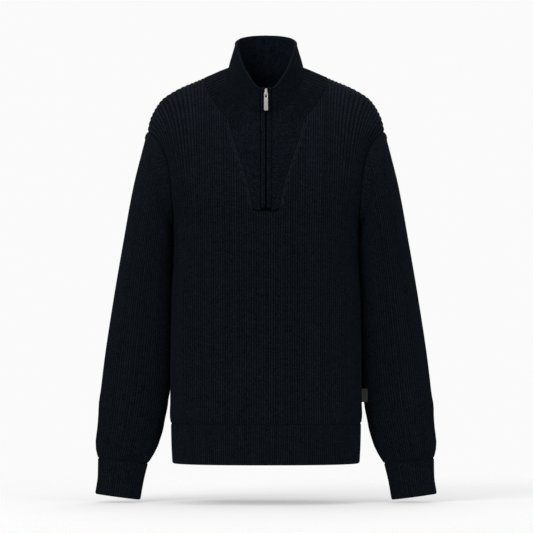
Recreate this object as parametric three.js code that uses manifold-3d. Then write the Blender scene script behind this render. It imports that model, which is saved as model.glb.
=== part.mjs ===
// Quarter zip sweater in half cardigan rib, filled out as worn and hollow: front and back panels,
// hem band, two sleeves with cuffs, a stand collar that runs down into a V-shaped front insert, a zip
// between two knitted welts, a slider with a hinged pull tab, and a folded label in the side seam.
// Millimetres. +Z is up and the front faces -Y. The origin lies between the shoulders, level with the
// neck points, where the wearer carries the garment.
import * as THREE from "three";
import Module from "manifold-3d";
import { mergeVertices } from "three/addons/utils/BufferGeometryUtils.js";

// Driving dimensions of the cloth and the seams.
const CLOTH = 2.6; // wall of the knitted panels
const COLLAR_CLOTH = 4.2; // the stand collar is knitted double
const SEAM_GAP = 0.36; // between two pieces along a seam
const NECK_GAP = 0.68; // along the seam of the collar piece, which turns sharply
const RIB_RISE = 0.9; // crest to valley of the body rib
const FINE_RIB_RISE = 0.7; // crest to valley on sleeves, cuffs and collar

// Ribs right round each sleeve and cuff, and in a quarter of the hem band.
const SLEEVE_RIBS = 40;
const CUFF_RIBS = 40;
const HEM_QUARTER_RIBS = 36;

// Heights of the body.
const HEM_Z = -691;
const BAND_TOP_Z = -621;
const UNDERARM_Z = -292;
const SHOULDER_TIP_Z = -111;

// The body is a stack of level rounded sections: half its width, how far it reaches to the front and
// to the back, and how square it is (2 is an ellipse). Above the shoulder tips the width is the
// outline of the shoulders.
const BODY_SECTIONS = [
  { z: HEM_Z, width: 163.2, front: 112, back: 112, square: 2.5 },
  { z: BAND_TOP_Z, width: 165.6, front: 114, back: 112, square: 2.5 },
  { z: -581, width: 167, front: 114, back: 110, square: 2.5 },
  { z: -493, width: 166.5, front: 112, back: 104, square: 2.5 },
  { z: -406, width: 165.6, front: 115, back: 102, square: 2.5 },
  { z: -318, width: 162.2, front: 120, back: 110, square: 2.45 },
  { z: UNDERARM_Z, width: 162.5, front: 121, back: 113, square: 2.45 },
  { z: -260, width: 168, front: 120, back: 116, square: 2.4 },
  { z: -231, width: 178, front: 118, back: 118, square: 2.4 },
  { z: -200, width: 186, front: 113, back: 119, square: 2.35 },
  { z: -173, width: 191, front: 107, back: 118, square: 2.3 },
  { z: -141, width: 199, front: 99, back: 115, square: 2.25 },
  { z: SHOULDER_TIP_Z, width: 206.5, front: 89, back: 109, square: 2.2 },
  { z: -91, width: 202.5, front: 80, back: 104, square: 2.15 },
  { z: -73.5, width: 194.5, front: 70, back: 97, square: 2.1 },
  { z: -56, width: 182, front: 60, back: 91, square: 2.1 },
  { z: -38.5, width: 156, front: 49, back: 83, square: 2.05 },
  { z: -21, width: 116, front: 34, back: 76, square: 2 },
  { z: -10, width: 90, front: 25, back: 72, square: 2 },
  { z: 1, width: 66, front: 16, back: 60, square: 2 },
];

// The armhole seam seen from the front, from the underarm up to the shoulder tip.
const ARMHOLE_SEAM = [
  { z: UNDERARM_Z, x: 162.5 },
  { z: -262, x: 161.5 },
  { z: -231, x: 164 },
  { z: -199.5, x: 166.3 },
  { z: -173, x: 170 },
  { z: -154, x: 174.5 },
  { z: -141, x: 179.5 },
  { z: -130, x: 186 },
  { z: -119, x: 196 },
  { z: SHOULDER_TIP_Z, x: 206.5 },
];

// The seam between the front and the collar piece: the foot of the insert, the V and the yoke line.
const FRONT_NECK_SEAM = [
  [0, -251], [17, -251], [22.2, -246], [25.5, -232], [31, -206], [38.5, -181], [47.5, -154],
  [56, -129], [63, -105], [66.7, -91], [71, -85.5], [80.2, -76], [89.8, -62.5], [99.6, -47],
  [104.5, -36], [107.4, -26], [108.3, -17.6],
];
const BACK_NECK_SEAM = [[0, -42], [26, -41], [62, -35.5], [92, -25.5], [108.3, -17.6]];

// Where each rib of a panel ends. Rib place 0 is the middle and 1 the side seam. Up to NECK_RIB it
// ends on the neck seam, at a share of that seam's length, from there to TIP_RIB on the shoulder
// line, and from there on at the foot of the armhole.
const NECK_RIB = 0.47;
const TIP_RIB = 0.77;
const FRONT_RIB_ENDS = [
  { rib: 0, share: 0 }, { rib: 0.07, share: 0.061 }, { rib: 0.09, share: 0.089 },
  { rib: 0.105, share: 0.142 }, { rib: 0.128, share: 0.24 }, { rib: 0.16, share: 0.337 },
  { rib: 0.2, share: 0.442 }, { rib: 0.235, share: 0.54 }, { rib: 0.265, share: 0.632 },
  { rib: 0.282, share: 0.686 }, { rib: 0.335, share: 0.762 }, { rib: 0.378, share: 0.823 },
  { rib: 0.42, share: 0.892 }, { rib: 0.455, share: 0.965 }, { rib: NECK_RIB, share: 1 },
];
const BACK_RIB_ENDS = [
  { rib: 0, share: 0 }, { rib: 0.108, share: 0.23 }, { rib: 0.255, share: 0.556 },
  { rib: 0.385, share: 0.835 }, { rib: NECK_RIB, share: 1 },
];
const SHOULDER_RIB_ENDS = [
  { rib: NECK_RIB, z: -17.6 }, { rib: 0.56, z: -32 }, { rib: 0.62, z: -48 },
  { rib: 0.67, z: -65 }, { rib: 0.72, z: -85 }, { rib: TIP_RIB, z: SHOULDER_TIP_Z },
];
const ARMHOLE_FOOT_Z = -231; // where the armhole turns from under the arm to up the chest
const ARMHOLE_RIB_ENDS = [
  { rib: TIP_RIB, z: ARMHOLE_FOOT_Z }, { rib: 0.83, z: -254 }, { rib: 0.88, z: -269 }, { rib: 0.94, z: -283 },
  { rib: 1, z: UNDERARM_Z },
];
// The chest line, across a panel below its neck seam and up to the foot of the armhole.
const CHEST_LINE = [
  { rib: 0, z: -300 }, { rib: 0.45, z: -300 }, { rib: 0.64, z: -276 }, { rib: TIP_RIB, z: ARMHOLE_FOOT_Z },
];
// Ribs of half a panel, from the middle: as many as the count from the row before to this place. The
// corner of the insert has narrower ones.
const PANEL_RIBS = [
  { to: 0.079, ribs: 3 }, { to: 0.091, ribs: 1 }, { to: 0.106, ribs: 1 }, { to: 0.43, ribs: 11 },
  { to: NECK_RIB, ribs: 3 }, { to: TIP_RIB, ribs: 9 }, { to: 1, ribs: 8 },
];
// Rows of points of a panel: 0 to 1 from the hem band to the chest line, and 1 to 2 from there up.
const CHEST_ROW = 1;
const PANEL_ROWS = [0, 0.5, CHEST_ROW, 1.3, 1.56, 1.76, 1.89, 1.965, 2];

// Sleeve sections. Each is a rounded loop between an outer point, away from the body, and an inner
// point, next to it, seen from the front. depth is half of its front to back size.
const SLEEVE_SECTIONS = [
  { outer_x: 211.2, outer_z: -126, inner_x: 168.2, inner_z: -294.5, depth: 61, mid_y: 0 },
  { outer_x: 231, outer_z: -205, inner_x: 168.4, inner_z: -328, depth: 62, mid_y: 1 },
  { outer_x: 249, outer_z: -303, inner_x: 168.6, inner_z: -388, depth: 57, mid_y: 3 },
  { outer_x: 267, outer_z: -408, inner_x: 169, inner_z: -464, depth: 47, mid_y: 6 },
  { outer_x: 284.5, outer_z: -526, inner_x: 171.4, inner_z: -559, depth: 36, mid_y: 9.5 },
  { outer_x: 295, outer_z: -628, inner_x: 183, inner_z: -637, depth: 31, mid_y: 11 },
  { outer_x: 297.6, outer_z: -664, inner_x: 195, inner_z: -672, depth: 29, mid_y: 11 },
  { outer_x: 294, outer_z: -682.4, inner_x: 207, inner_z: -691.8, depth: 22, mid_y: 11 },
];
const UNDERARM_FOLD = 4; // how high the cloth folds over between the body and the sleeve
const SLEEVE_PLAIN_COLUMNS = 28;
const UNDERARM_EASE = 0.5; // the wider gap of the armhole seam under the arm
const CUFF_SECTIONS = [
  { outer_x: 293.9, outer_z: -682.8, inner_x: 207.2, inner_z: -692.2, depth: 21.8, mid_y: 11 },
  { outer_x: 294.4, outer_z: -712, inner_x: 214.5, inner_z: -722, depth: 18.5, mid_y: 11 },
  { outer_x: 299, outer_z: -745.5, inner_x: 220.5, inner_z: -756, depth: 18, mid_y: 10.5 },
];

// The collar piece, half of it, from the zip edge (place 0) round the neck to the middle of the back
// (place 1). Each place gives the share of the neck seam where its rib starts, the neck line where
// it turns up, seen from the front, and its point on the top edge.
const COLLAR_SIDE = 0.5; // the place over the shoulder, where front changes to back
const COLLAR_PLACES = [
  { place: 0, share: 0.0345, base_x: 9.5, base_z: -81, top_x: 9.5, top_y: -77.5, top_z: -37.5 },
  { place: 0.06, share: 0.066, base_x: 13.5, base_z: -80.5, top_x: 14, top_y: -77, top_z: -36 },
  { place: 0.09, share: 0.095, base_x: 16.5, base_z: -79.5, top_x: 18, top_y: -75.5, top_z: -33 },
  { place: 0.14, share: 0.21, base_x: 22, base_z: -78.5, top_x: 24, top_y: -72, top_z: -26 },
  { place: 0.2, share: 0.38, base_x: 30, base_z: -75, top_x: 31, top_y: -66, top_z: -15 },
  { place: 0.27, share: 0.56, base_x: 39, base_z: -69, top_x: 38, top_y: -56.5, top_z: -4 },
  { place: 0.32, share: 0.686, base_x: 46, base_z: -62, top_x: 43, top_y: -46, top_z: 7 },
  { place: 0.38, share: 0.8, base_x: 55, base_z: -47, top_x: 47.5, top_y: -32, top_z: 20.5 },
  { place: 0.44, share: 0.9, base_x: 61.5, base_z: -26, top_x: 51, top_y: -16, top_z: 33.5 },
  { place: COLLAR_SIDE, share: 1, base_x: 66, base_z: 1, top_x: 53, top_y: 2, top_z: 43.5 },
  { place: 0.6, share: 0.84, base_x: 61, base_z: -1.5, top_x: 50.5, top_y: 22, top_z: 50 },
  { place: 0.68, share: 0.68, base_x: 52, base_z: -5, top_x: 45, top_y: 36, top_z: 54 },
  { place: 0.75, share: 0.53, base_x: 43, base_z: -8, top_x: 37, top_y: 45, top_z: 56.5 },
  { place: 0.88, share: 0.25, base_x: 22, base_z: -11.2, top_x: 19, top_y: 56, top_z: 59.3 },
  { place: 1, share: 0, base_x: 0, base_z: -12, top_x: 0, top_y: 59, top_z: 60 },
];
// Ribs of half the collar piece, counted in the same way from the zip edge.
const COLLAR_RIBS = [
  { to: 0.05, ribs: 1 }, { to: 0.11, ribs: 3 }, { to: 0.32, ribs: 8 }, { to: COLLAR_SIDE, ribs: 14 },
  { to: 0.55, ribs: 3 }, { to: 1, ribs: 13 },
];
const COLLAR_ROWS = [0, 0.16, 0.32, 0.46, 0.62, 0.8, 1];
const COLLAR_BASE_ROW = 0.46; // the row on the neck line
const COLLAR_PLAIN = [
  0, 0.05, 0.07, 0.08, 0.09, 0.1, 0.11, 0.16, 0.22, 0.28, 0.32, 0.36, 0.4, 0.43, 0.455, 0.48,
  COLLAR_SIDE, 0.51, 0.52, 0.54, 0.57, 0.61, 0.65, 0.7, 0.77, 0.84, 0.92, 1,
];

// Zip: two welts with a slit between them, a tape behind each welt, the chain between the tapes,
// and the slider at the top of the chain.
const SLIT = 2.8;
const WELT_WIDTH = 7.2;
const WELT_RISE = 1.5; // how far the welts stand out of the insert
const WELT_TOP_Z = -36.5;
const WELT_FOOT_Z = -244;
const TAPE = { inner: 2.6, outer: 9, thick: 0.9, top_z: -42, foot_z: -247 };
const CHAIN = { width: 4.4, thick: 1.6, top_z: -51.5, foot_z: -245 };

// The slider's plate lies in front of the welts, its core runs back through the slit to the chain,
// and the pull hangs on a bar under its bridge.
const PLATE = { top_z: -38.5, foot_z: -51.2, top_wide: 4.4, wide: 6.4, thick: 1.2 };
const CORE_WIDE = 2; // in the slit
const HINGE_Z = -47;
const BRIDGE = { wide: 2.2, bar: 1, top_z: -42.6, foot_z: -51, inside_deep: 2.6 };
const PULL = { wide: 8, foot_z: -77, thick: 1.5, bar: 1.4, window_wide: 3.4, window_foot_z: -54.4, corner: 0.8 };

// The label is a woven tape folded once and held in the side seam.
const LABEL = { inner_x: 167.6, outer_x: 177.6, y: -6.9, thick: 1.1, top_z: -561, foot_z: -584.5 };

const DYE = 0x10151c;
const COLOURS = { body: DYE, sleeve: DYE, collar: DYE, tape: 0x07090c, metal: 0xb3afad, label: 0x3b383b };

// A smooth curve without overshoot through one column of a table, as a function of another column.
function track(rows, at, key) {
  const x = rows.map((r) => r[at]);
  const y = rows.map((r) => r[key]);
  const last = x.length - 1;
  const slope = x.slice(1).map((v, i) => (y[i + 1] - y[i]) / (v - x[i]));
  const tangent = x.map((_, i) => {
    if (i === 0) return slope[0];
    if (i === last) return slope[last - 1];
    if (slope[i - 1] * slope[i] <= 0) return 0;
    const [h0, h1] = [x[i] - x[i - 1], x[i + 1] - x[i]];
    const [w0, w1] = [2 * h1 + h0, h1 + 2 * h0];
    return (w0 + w1) / (w0 / slope[i - 1] + w1 / slope[i]);
  });
  return (v) => {
    if (v <= x[0]) return y[0];
    if (v >= x[last]) return y[last];
    let i = 0;
    while (x[i + 1] < v) i++;
    const h = x[i + 1] - x[i];
    const t = (v - x[i]) / h;
    const [t2, t3] = [t * t, t * t * t];
    return (
      (2 * t3 - 3 * t2 + 1) * y[i] + (t3 - 2 * t2 + t) * h * tangent[i] +
      (3 * t2 - 2 * t3) * y[i + 1] + (t3 - t2) * h * tangent[i + 1]
    );
  };
}

const mix = (a, b, t) => a + (b - a) * t;
const body = Object.fromEntries(
  ["width", "front", "back", "square"].map((key) => [key, track(BODY_SECTIONS, "z", key)]),
);
const armholeX = track(ARMHOLE_SEAM, "z", "x");
const FRONT = -1;
const BACK = 1;

// The body's outer face over a point seen from the front, on its front or back side.
function bodyPoint(x, z, side) {
  const n = body.square(z);
  const depth = side === FRONT ? body.front(z) : body.back(z);
  const share = Math.min(1, Math.abs(x) / body.width(z));
  const y = depth * Math.pow(1 - Math.pow(share, n), 1 / n);
  return new THREE.Vector3(x, side * Math.max(y, SEAM_GAP / 2), z);
}

// The direction straight out of the body's face: the gradient of |x/width|^n + |y/depth|^n.
function bodyNormal(p) {
  const field = (x, y, z) => {
    const n = body.square(z);
    const depth = y < 0 ? body.front(z) : body.back(z);
    return Math.pow(Math.abs(x) / body.width(z), n) + Math.pow(Math.abs(y) / depth, n);
  };
  const d = 0.5;
  const down = (k) => field(p.x, p.y, p.z + k * d);
  return new THREE.Vector3(
    field(p.x + d, p.y, p.z) - field(p.x - d, p.y, p.z),
    field(p.x, p.y + d, p.z) - field(p.x, p.y - d, p.z),
    down(1) - down(-1),
  ).normalize();
}

// x on a level section at a share of the way round from the middle to the side, by length.
function roundX(share, z, side) {
  const steps = 40;
  const [n, width] = [body.square(z), body.width(z)];
  const depth = side === FRONT ? body.front(z) : body.back(z);
  const at = (i) => {
    const angle = (i / steps) * (Math.PI / 2);
    return [width * Math.pow(Math.sin(angle), 2 / n), depth * Math.pow(Math.cos(angle), 2 / n)];
  };
  const run = [0];
  for (let i = 1; i <= steps; i++) {
    const [a, b] = [at(i - 1), at(i)];
    run.push(run[i - 1] + Math.hypot(b[0] - a[0], b[1] - a[1]));
  }
  const want = Math.min(1, share) * run[steps];
  let i = 1;
  while (i < steps && run[i] < want) i++;
  return mix(at(i - 1)[0], at(i)[0], (want - run[i - 1]) / (run[i] - run[i - 1]));
}

const seamCurve = (points) =>
  new THREE.CatmullRomCurve3(points.map(([x, z]) => new THREE.Vector3(x, 0, z)), false, "centripetal");
const neckSeam = { [FRONT]: seamCurve(FRONT_NECK_SEAM), [BACK]: seamCurve(BACK_NECK_SEAM) };
const neckShare = {
  [FRONT]: track(FRONT_RIB_ENDS, "rib", "share"),
  [BACK]: track(BACK_RIB_ENDS, "rib", "share"),
};
const shoulderZ = track(SHOULDER_RIB_ENDS, "rib", "z");
const chestZ = track(CHEST_LINE, "rib", "z");

// Where a rib of the front or back ends, seen from the front.
function ribEnd(rib, side) {
  if (rib > NECK_RIB) {
    const z = shoulderZ(rib);
    return { x: body.width(z), z };
  }
  const p = neckSeam[side].getPointAt(neckShare[side](rib));
  return { x: p.x, z: p.z };
}

// The share of a level section's length, from the middle to the side, at which x lies.
function shareAt(x, z, side) {
  let [low, high] = [0, 1];
  for (let i = 0; i < 30; i++) {
    const middle = (low + high) / 2;
    if (roundX(middle, z, side) < x) low = middle;
    else high = middle;
  }
  return low;
}
const footShare = Object.fromEntries(
  [FRONT, BACK].map((side) => [side, shareAt(armholeX(ARMHOLE_FOOT_Z), ARMHOLE_FOOT_Z, side)]),
);

// The foot of the armhole, from where it turns up the chest to the side seam: straight from one rib
// of the table to the next.
const footNodes = Object.fromEntries(
  [FRONT, BACK].map((side) => [side, ARMHOLE_RIB_ENDS.map(({ z }) => bodyPoint(armholeX(z), z, side))]),
);
function armholeFoot(rib, side) {
  const nodes = footNodes[side];
  let i = 1;
  while (i < nodes.length - 1 && ARMHOLE_RIB_ENDS[i].rib < rib) i++;
  const [low, high] = [ARMHOLE_RIB_ENDS[i - 1].rib, ARMHOLE_RIB_ENDS[i].rib];
  return nodes[i - 1].clone().lerp(nodes[i], (rib - low) / (high - low));
}

// Where a rib crosses the chest line, seen from the front, for ribs that run on up to the top.
function chestPoint(rib, side) {
  const z = chestZ(rib);
  const lean = Math.max(0, (z - UNDERARM_Z) / (ARMHOLE_FOOT_Z - UNDERARM_Z));
  const straight = roundX(rib, Math.min(z, UNDERARM_Z), side);
  return { x: mix(straight, roundX((rib / TIP_RIB) * footShare[side], ARMHOLE_FOOT_Z, side), lean), z };
}

// A point of a body panel's outer face: rib place -1 to 1 across, row 0 to 2 up. Below the chest line
// a rib keeps its share of the way round, and above it leans out as the armhole does.
function panelPoint(place, row, side) {
  const rib = Math.abs(place);
  const mirrorX = (p) => ((p.x *= place < 0 ? -1 : 1), p);
  if (rib > TIP_RIB && row >= CHEST_ROW) return mirrorX(armholeFoot(rib, side));
  const chest = rib > TIP_RIB ? armholeFoot(rib, side) : chestPoint(rib, side);
  if (row <= CHEST_ROW) {
    const z = mix(BAND_TOP_Z, chest.z, row / CHEST_ROW);
    const x = row === CHEST_ROW ? chest.x : roundX(rib, Math.min(z, UNDERARM_Z), side);
    return mirrorX(bodyPoint(Math.min(x, body.width(z)), z, side));
  }
  const end = ribEnd(rib, side);
  const up = row - CHEST_ROW;
  const seamAt = armholeX(mix(ARMHOLE_FOOT_Z, SHOULDER_TIP_Z, up));
  const bow = seamAt - mix(armholeX(ARMHOLE_FOOT_Z), armholeX(SHOULDER_TIP_Z), up);
  const z = mix(chest.z, end.z, up);
  const x = mix(chest.x, end.x, up) + bow * Math.max(0, (rib - NECK_RIB) / (TIP_RIB - NECK_RIB));
  return mirrorX(bodyPoint(Math.min(x, body.width(z)), z, side));
}

// Collects the points and triangles of one closed wall.
class Wall {
  constructor() {
    this.points = [];
    this.faces = [];
  }

  add(p) {
    return this.points.push(p) - 1;
  }

  // A grid of point numbers, rows of columns, as faces that look along columns x rows. Each cell is
  // cut along its shorter diagonal.
  sheet(rows, flip) {
    const span = (i, j) => this.points[i].distanceToSquared(this.points[j]);
    for (let r = 0; r + 1 < rows.length; r++) {
      for (let c = 0; c + 1 < rows[r].length; c++) {
        const [a, b, d, e] = [rows[r][c], rows[r][c + 1], rows[r + 1][c], rows[r + 1][c + 1]];
        const cut = span(b, d) <= span(a, e) ? [a, b, d, b, e, d] : [a, b, e, a, e, d];
        this.faces.push(...(flip ? [cut[0], cut[2], cut[1], cut[3], cut[5], cut[4]] : cut));
      }
    }
  }

  // A strip between two lines of points whose numbers differ. at gives each line's places along it.
  strip(one, two, at, flip) {
    let [i, j] = [0, 0];
    while (i + 1 < one.length || j + 1 < two.length) {
      const [nextOne, nextTwo] = [at[0][i + 1] ?? Infinity, at[1][j + 1] ?? Infinity];
      const [a, b] = [one[i], two[j]];
      const c = nextOne <= nextTwo ? one[++i] : two[++j];
      this.faces.push(...(flip ? [a, c, b] : [a, b, c]));
    }
  }

  // The same, where one is a ribbed line: each crest is closed off between its two valleys first.
  ribbedStrip(one, two, at, flip) {
    const valleys = one.filter((_, i) => i % 2 === 0);
    for (let i = 1; i < one.length; i += 2) {
      const [before, crest, after] = [one[i - 1], one[i], one[i + 1]];
      this.faces.push(...(flip ? [before, crest, after] : [before, after, crest]));
    }
    this.strip(valleys, two, [at[0].filter((_, i) => i % 2 === 0), at[1]], flip);
  }

  geometry() {
    const g = new THREE.BufferGeometry();
    g.setAttribute("position", new THREE.Float32BufferAttribute(this.points.flatMap((p) => [p.x, p.y, p.z]), 3));
    g.setIndex(this.faces);
    g.computeVertexNormals();
    return g;
  }
}

const even = (count) => Array.from({ length: count + 1 }, (_, i) => i / count);

// Places of the valleys and crests of ribs that a table spreads over half a piece.
function ribPlaces(table) {
  const places = [0];
  for (const { to, ribs } of table) {
    const from = places.at(-1);
    for (let i = 1; i <= 2 * ribs; i++) places.push(mix(from, to, i / (2 * ribs)));
  }
  return places;
}

// A cloth wall. face(c, r) gives a point of the outer face and the way out of it. columns, plain and
// rows are the places c of the outer and the inner columns and the places r of both sides' rows.
// Every second outer column is a rib's crest, and the inside is plain. stepIn is a row and a place:
// above that row the wall is only as wide as that place to each side.
function clothWall({ face, columns, plain, rows, thick, ribRise, round = false, handed = 1, stepIn }) {
  const wall = new Wall();
  const flip = handed < 0;
  const stepRow = stepIn ? rows.indexOf(stepIn.row) : rows.length - 1;
  const within = (place) => !stepIn || Math.abs(place) <= stepIn.place;
  const narrow = { columns: columns.filter(within), plain: plain.filter(within) };
  const line = (places, r, outer) => {
    const made = round ? places.slice(0, -1) : places;
    const ids = made.map((place, i) => {
      const { point, out } = face(place, r);
      const crest = (i % 2 === 1 ? 0.5 : -0.5) * ribRise;
      return wall.add(point.clone().addScaledVector(out, outer ? crest : -thick(r)));
    });
    return round ? [...ids, ids[0]] : ids;
  };
  const wide = (r) => rows.indexOf(r) <= stepRow;
  const outer = rows.map((r) => line(wide(r) ? columns : narrow.columns, r, true));
  const inner = rows.map((r) => line(wide(r) ? plain : narrow.plain, r, false));
  const edge = (grid, c) => grid.map((row) => row.at(c));
  const sides = (one, two, at) => {
    wall.strip(edge(one, 0), edge(two, 0), [at, at], !flip);
    wall.strip(edge(one, -1), edge(two, -1), [at, at], flip);
  };
  const low = { outer: outer.slice(0, stepRow + 1), inner: inner.slice(0, stepRow + 1) };
  wall.sheet(low.outer, flip);
  wall.sheet(low.inner, !flip);
  wall.ribbedStrip(outer[0], inner[0], [columns, plain], flip);
  wall.ribbedStrip(outer.at(-1), inner.at(-1), stepIn ? [narrow.columns, narrow.plain] : [columns, plain], !flip);
  if (!round) sides(low.outer, low.inner, rows.slice(0, stepRow + 1));
  if (stepIn) {
    const part = (row, places, keep) => row.filter((_, i) => keep(places[i]));
    const high = {
      outer: [part(outer[stepRow], columns, within), ...outer.slice(stepRow + 1)],
      inner: [part(inner[stepRow], plain, within), ...inner.slice(stepRow + 1)],
    };
    wall.sheet(high.outer, flip);
    wall.sheet(high.inner, !flip);
    sides(high.outer, high.inner, rows.slice(stepRow));
    for (const beyond of [(place) => place <= -stepIn.place, (place) => place >= stepIn.place]) {
      wall.ribbedStrip(
        part(outer[stepRow], columns, beyond), part(inner[stepRow], plain, beyond),
        [columns.filter(beyond), plain.filter(beyond)], !flip,
      );
    }
  }
  return wall.geometry();
}

// The places of half a piece and of the whole, for a piece whose two halves match.
const bothHalves = (half) => [...half.slice(1).reverse().map((place) => -place), ...half];

// A direction along the cloth, square to the neck seam and away from the neck, for x of 0 or more.
function offNeck(share, side) {
  const at = (t) => {
    const p = neckSeam[side].getPointAt(THREE.MathUtils.clamp(t, 0, 1));
    return bodyPoint(p.x, p.z, side);
  };
  const along = at(share + 0.004).sub(at(share - 0.004));
  return along.cross(bodyNormal(at(share))).normalize().multiplyScalar(-side);
}

function bodyPanel(side) {
  const face = (place, row) => {
    const point = panelPoint(place, row, side);
    const out = bodyNormal(point);
    // The end of a rib stops short of the collar piece.
    if (row === PANEL_ROWS.at(-1) && Math.abs(place) <= NECK_RIB) {
      const off = offNeck(neckShare[side](Math.abs(place)), side);
      off.x *= Math.sign(place);
      point.addScaledVector(off, NECK_GAP / 2);
    }
    return { point, out };
  };
  const ribs = ribPlaces(PANEL_RIBS);
  const valleys = ribs.filter((_, i) => i % 2 === 0);
  return clothWall({
    face, columns: bothHalves(ribs), plain: bothHalves(valleys),
    rows: PANEL_ROWS, stepIn: { row: CHEST_ROW, place: TIP_RIB },
    thick: () => CLOTH, ribRise: RIB_RISE, handed: side === FRONT ? 1 : -1,
  });
}

function hemBand() {
  const face = (c, r) => {
    const z = mix(HEM_Z, BAND_TOP_Z - SEAM_GAP, r);
    const turn = c * 4; // quarters round, from the middle of the front to the wearer's left
    const quarter = Math.floor(turn) % 4;
    const share = turn - Math.floor(turn);
    const side = quarter === 0 || quarter === 3 ? FRONT : BACK;
    const x = roundX(quarter % 2 === 0 ? share : 1 - share, z, side) * (quarter < 2 ? 1 : -1);
    const point = bodyPoint(x, z, side);
    if (Math.abs(point.y) < SEAM_GAP) point.y = 0;
    return { point, out: bodyNormal(point) };
  };
  return clothWall({
    face, columns: even(8 * HEM_QUARTER_RIBS), plain: even(48), rows: [0, 1],
    thick: () => CLOTH, ribRise: RIB_RISE, round: true,
  });
}

// The armhole edge of a panel on the wearer's left, from the shoulder tip down to the underarm.
const armholeEdge = Object.fromEntries(
  [FRONT, BACK].map((side) => [
    side,
    [
      ...PANEL_ROWS.filter((row) => row > CHEST_ROW).reverse().map((row) => panelPoint(TIP_RIB, row, side)),
      ...footNodes[side].map((node) => node.clone()),
    ],
  ]),
);

// The armhole loop of the wearer's left sleeve, from the shoulder tip down the front, under the arm
// and up the back, by share of the way round.
function armholePoint(turn) {
  const edge = armholeEdge[turn <= 0.5 ? FRONT : BACK];
  const run = [0];
  for (let i = 1; i < edge.length; i++) run.push(run[i - 1] + edge[i].distanceTo(edge[i - 1]));
  const want = (1 - Math.abs(1 - 2 * turn)) * run.at(-1);
  let i = 1;
  while (i < edge.length - 1 && run[i] < want) i++;
  return edge[i - 1].clone().lerp(edge[i], (want - run[i - 1]) / (run[i] - run[i - 1]));
}

// A point of a rounded loop section, by share of the way round from its outer point by the front.
function loopPoint(section, turn) {
  const angle = turn * 2 * Math.PI;
  const across = (1 - Math.cos(angle)) / 2;
  return new THREE.Vector3(
    mix(section.outer_x, section.inner_x, across),
    section.mid_y - section.depth * Math.sin(angle),
    mix(section.outer_z, section.inner_z, across),
  );
}

// Rings of a sleeve's outer face: the armhole, the fold beside it, and the sections.
function sleeveRing(turn, ring) {
  if (ring >= 2) return loopPoint(SLEEVE_SECTIONS[ring - 2], turn);
  const seam = armholePoint(turn);
  const first = loopPoint(SLEEVE_SECTIONS[0], turn);
  if (ring === 0) {
    const along = armholePoint((turn + 0.01) % 1).sub(armholePoint((turn + 0.99) % 1));
    const ease = UNDERARM_EASE * Math.pow(Math.sin(turn * Math.PI), 4);
    return seam.addScaledVector(bodyNormal(seam).cross(along).normalize(), SEAM_GAP + ease);
  }
  const under = Math.pow(Math.sin(turn * Math.PI), 10);
  const fold = seam.clone().lerp(first, 0.5);
  fold.addScaledVector(bodyNormal(seam), 2.2 * (1 - under));
  fold.z += UNDERARM_FOLD * under;
  return fold;
}

// Outward direction of a tube of rings at one point, from its neighbours round and along.
function tubeNormal(ringAt, turn, ring, last) {
  const step = 0.01;
  const round = ringAt((turn + step) % 1, ring).sub(ringAt((turn + 1 - step) % 1, ring));
  const along = ringAt(turn, Math.min(last, ring + 1)).sub(ringAt(turn, Math.max(0, ring - 1)));
  return round.cross(along).normalize();
}

function mirrored(point, hand) {
  return new THREE.Vector3(point.x * hand, point.y, point.z);
}

// hand is 1 for the wearer's left and -1 for the wearer's right.
function tubePiece({ ringAt, rings, hand, ribs, plainColumns, firstOut }) {
  const last = rings - 1;
  const face = (c, r) => {
    const ring = Math.round(r * last);
    const point = ringAt(c % 1, ring);
    const out = ring === 0 && firstOut ? firstOut(point) : tubeNormal(ringAt, c % 1, ring, last);
    return { point: mirrored(point, hand), out: mirrored(out, hand) };
  };
  return clothWall({
    face, columns: even(2 * ribs), plain: even(plainColumns), rows: even(last),
    thick: () => CLOTH, ribRise: FINE_RIB_RISE, round: true, handed: hand,
  });
}

const sleeve = (hand) =>
  tubePiece({
    ringAt: sleeveRing, rings: SLEEVE_SECTIONS.length + 2, hand, ribs: SLEEVE_RIBS,
    plainColumns: SLEEVE_PLAIN_COLUMNS, firstOut: bodyNormal,
  });

const cuff = (hand) =>
  tubePiece({
    ringAt: (turn, ring) => loopPoint(CUFF_SECTIONS[ring], turn), rings: CUFF_SECTIONS.length, hand,
    ribs: CUFF_RIBS, plainColumns: 16,
  });

const collarTrack = Object.fromEntries(
  ["share", "base_x", "base_z", "top_x", "top_y", "top_z"].map((key) => [key, track(COLLAR_PLACES, "place", key)]),
);

// A point of the collar piece's outer face, for place 0 to 1 and share 0 to 1 up its rib.
function collarPoint(place, share) {
  const side = place <= COLLAR_SIDE ? FRONT : BACK;
  const seam = neckSeam[side].getPointAt(Math.min(1, collarTrack.share(place)));
  const base = { x: collarTrack.base_x(place), z: collarTrack.base_z(place) };
  if (share <= COLLAR_BASE_ROW) {
    const up = share / COLLAR_BASE_ROW;
    const z = mix(seam.z, base.z, up);
    return bodyPoint(Math.min(mix(seam.x, base.x, up), body.width(z)), z, side);
  }
  const foot = bodyPoint(Math.min(base.x, body.width(base.z)), base.z, side);
  const top = new THREE.Vector3(collarTrack.top_x(place), collarTrack.top_y(place), collarTrack.top_z(place));
  const up = (share - COLLAR_BASE_ROW) / (1 - COLLAR_BASE_ROW);
  return foot.lerp(top, up);
}

// From the zip edge on the wearer's left, round the back, to the zip edge on the other side: runs
// from 0 to 2, and the middle of the back is at 1.
const roundNeck = (half) => [...half, ...half.slice(0, -1).reverse().map((place) => 2 - place)];

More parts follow.
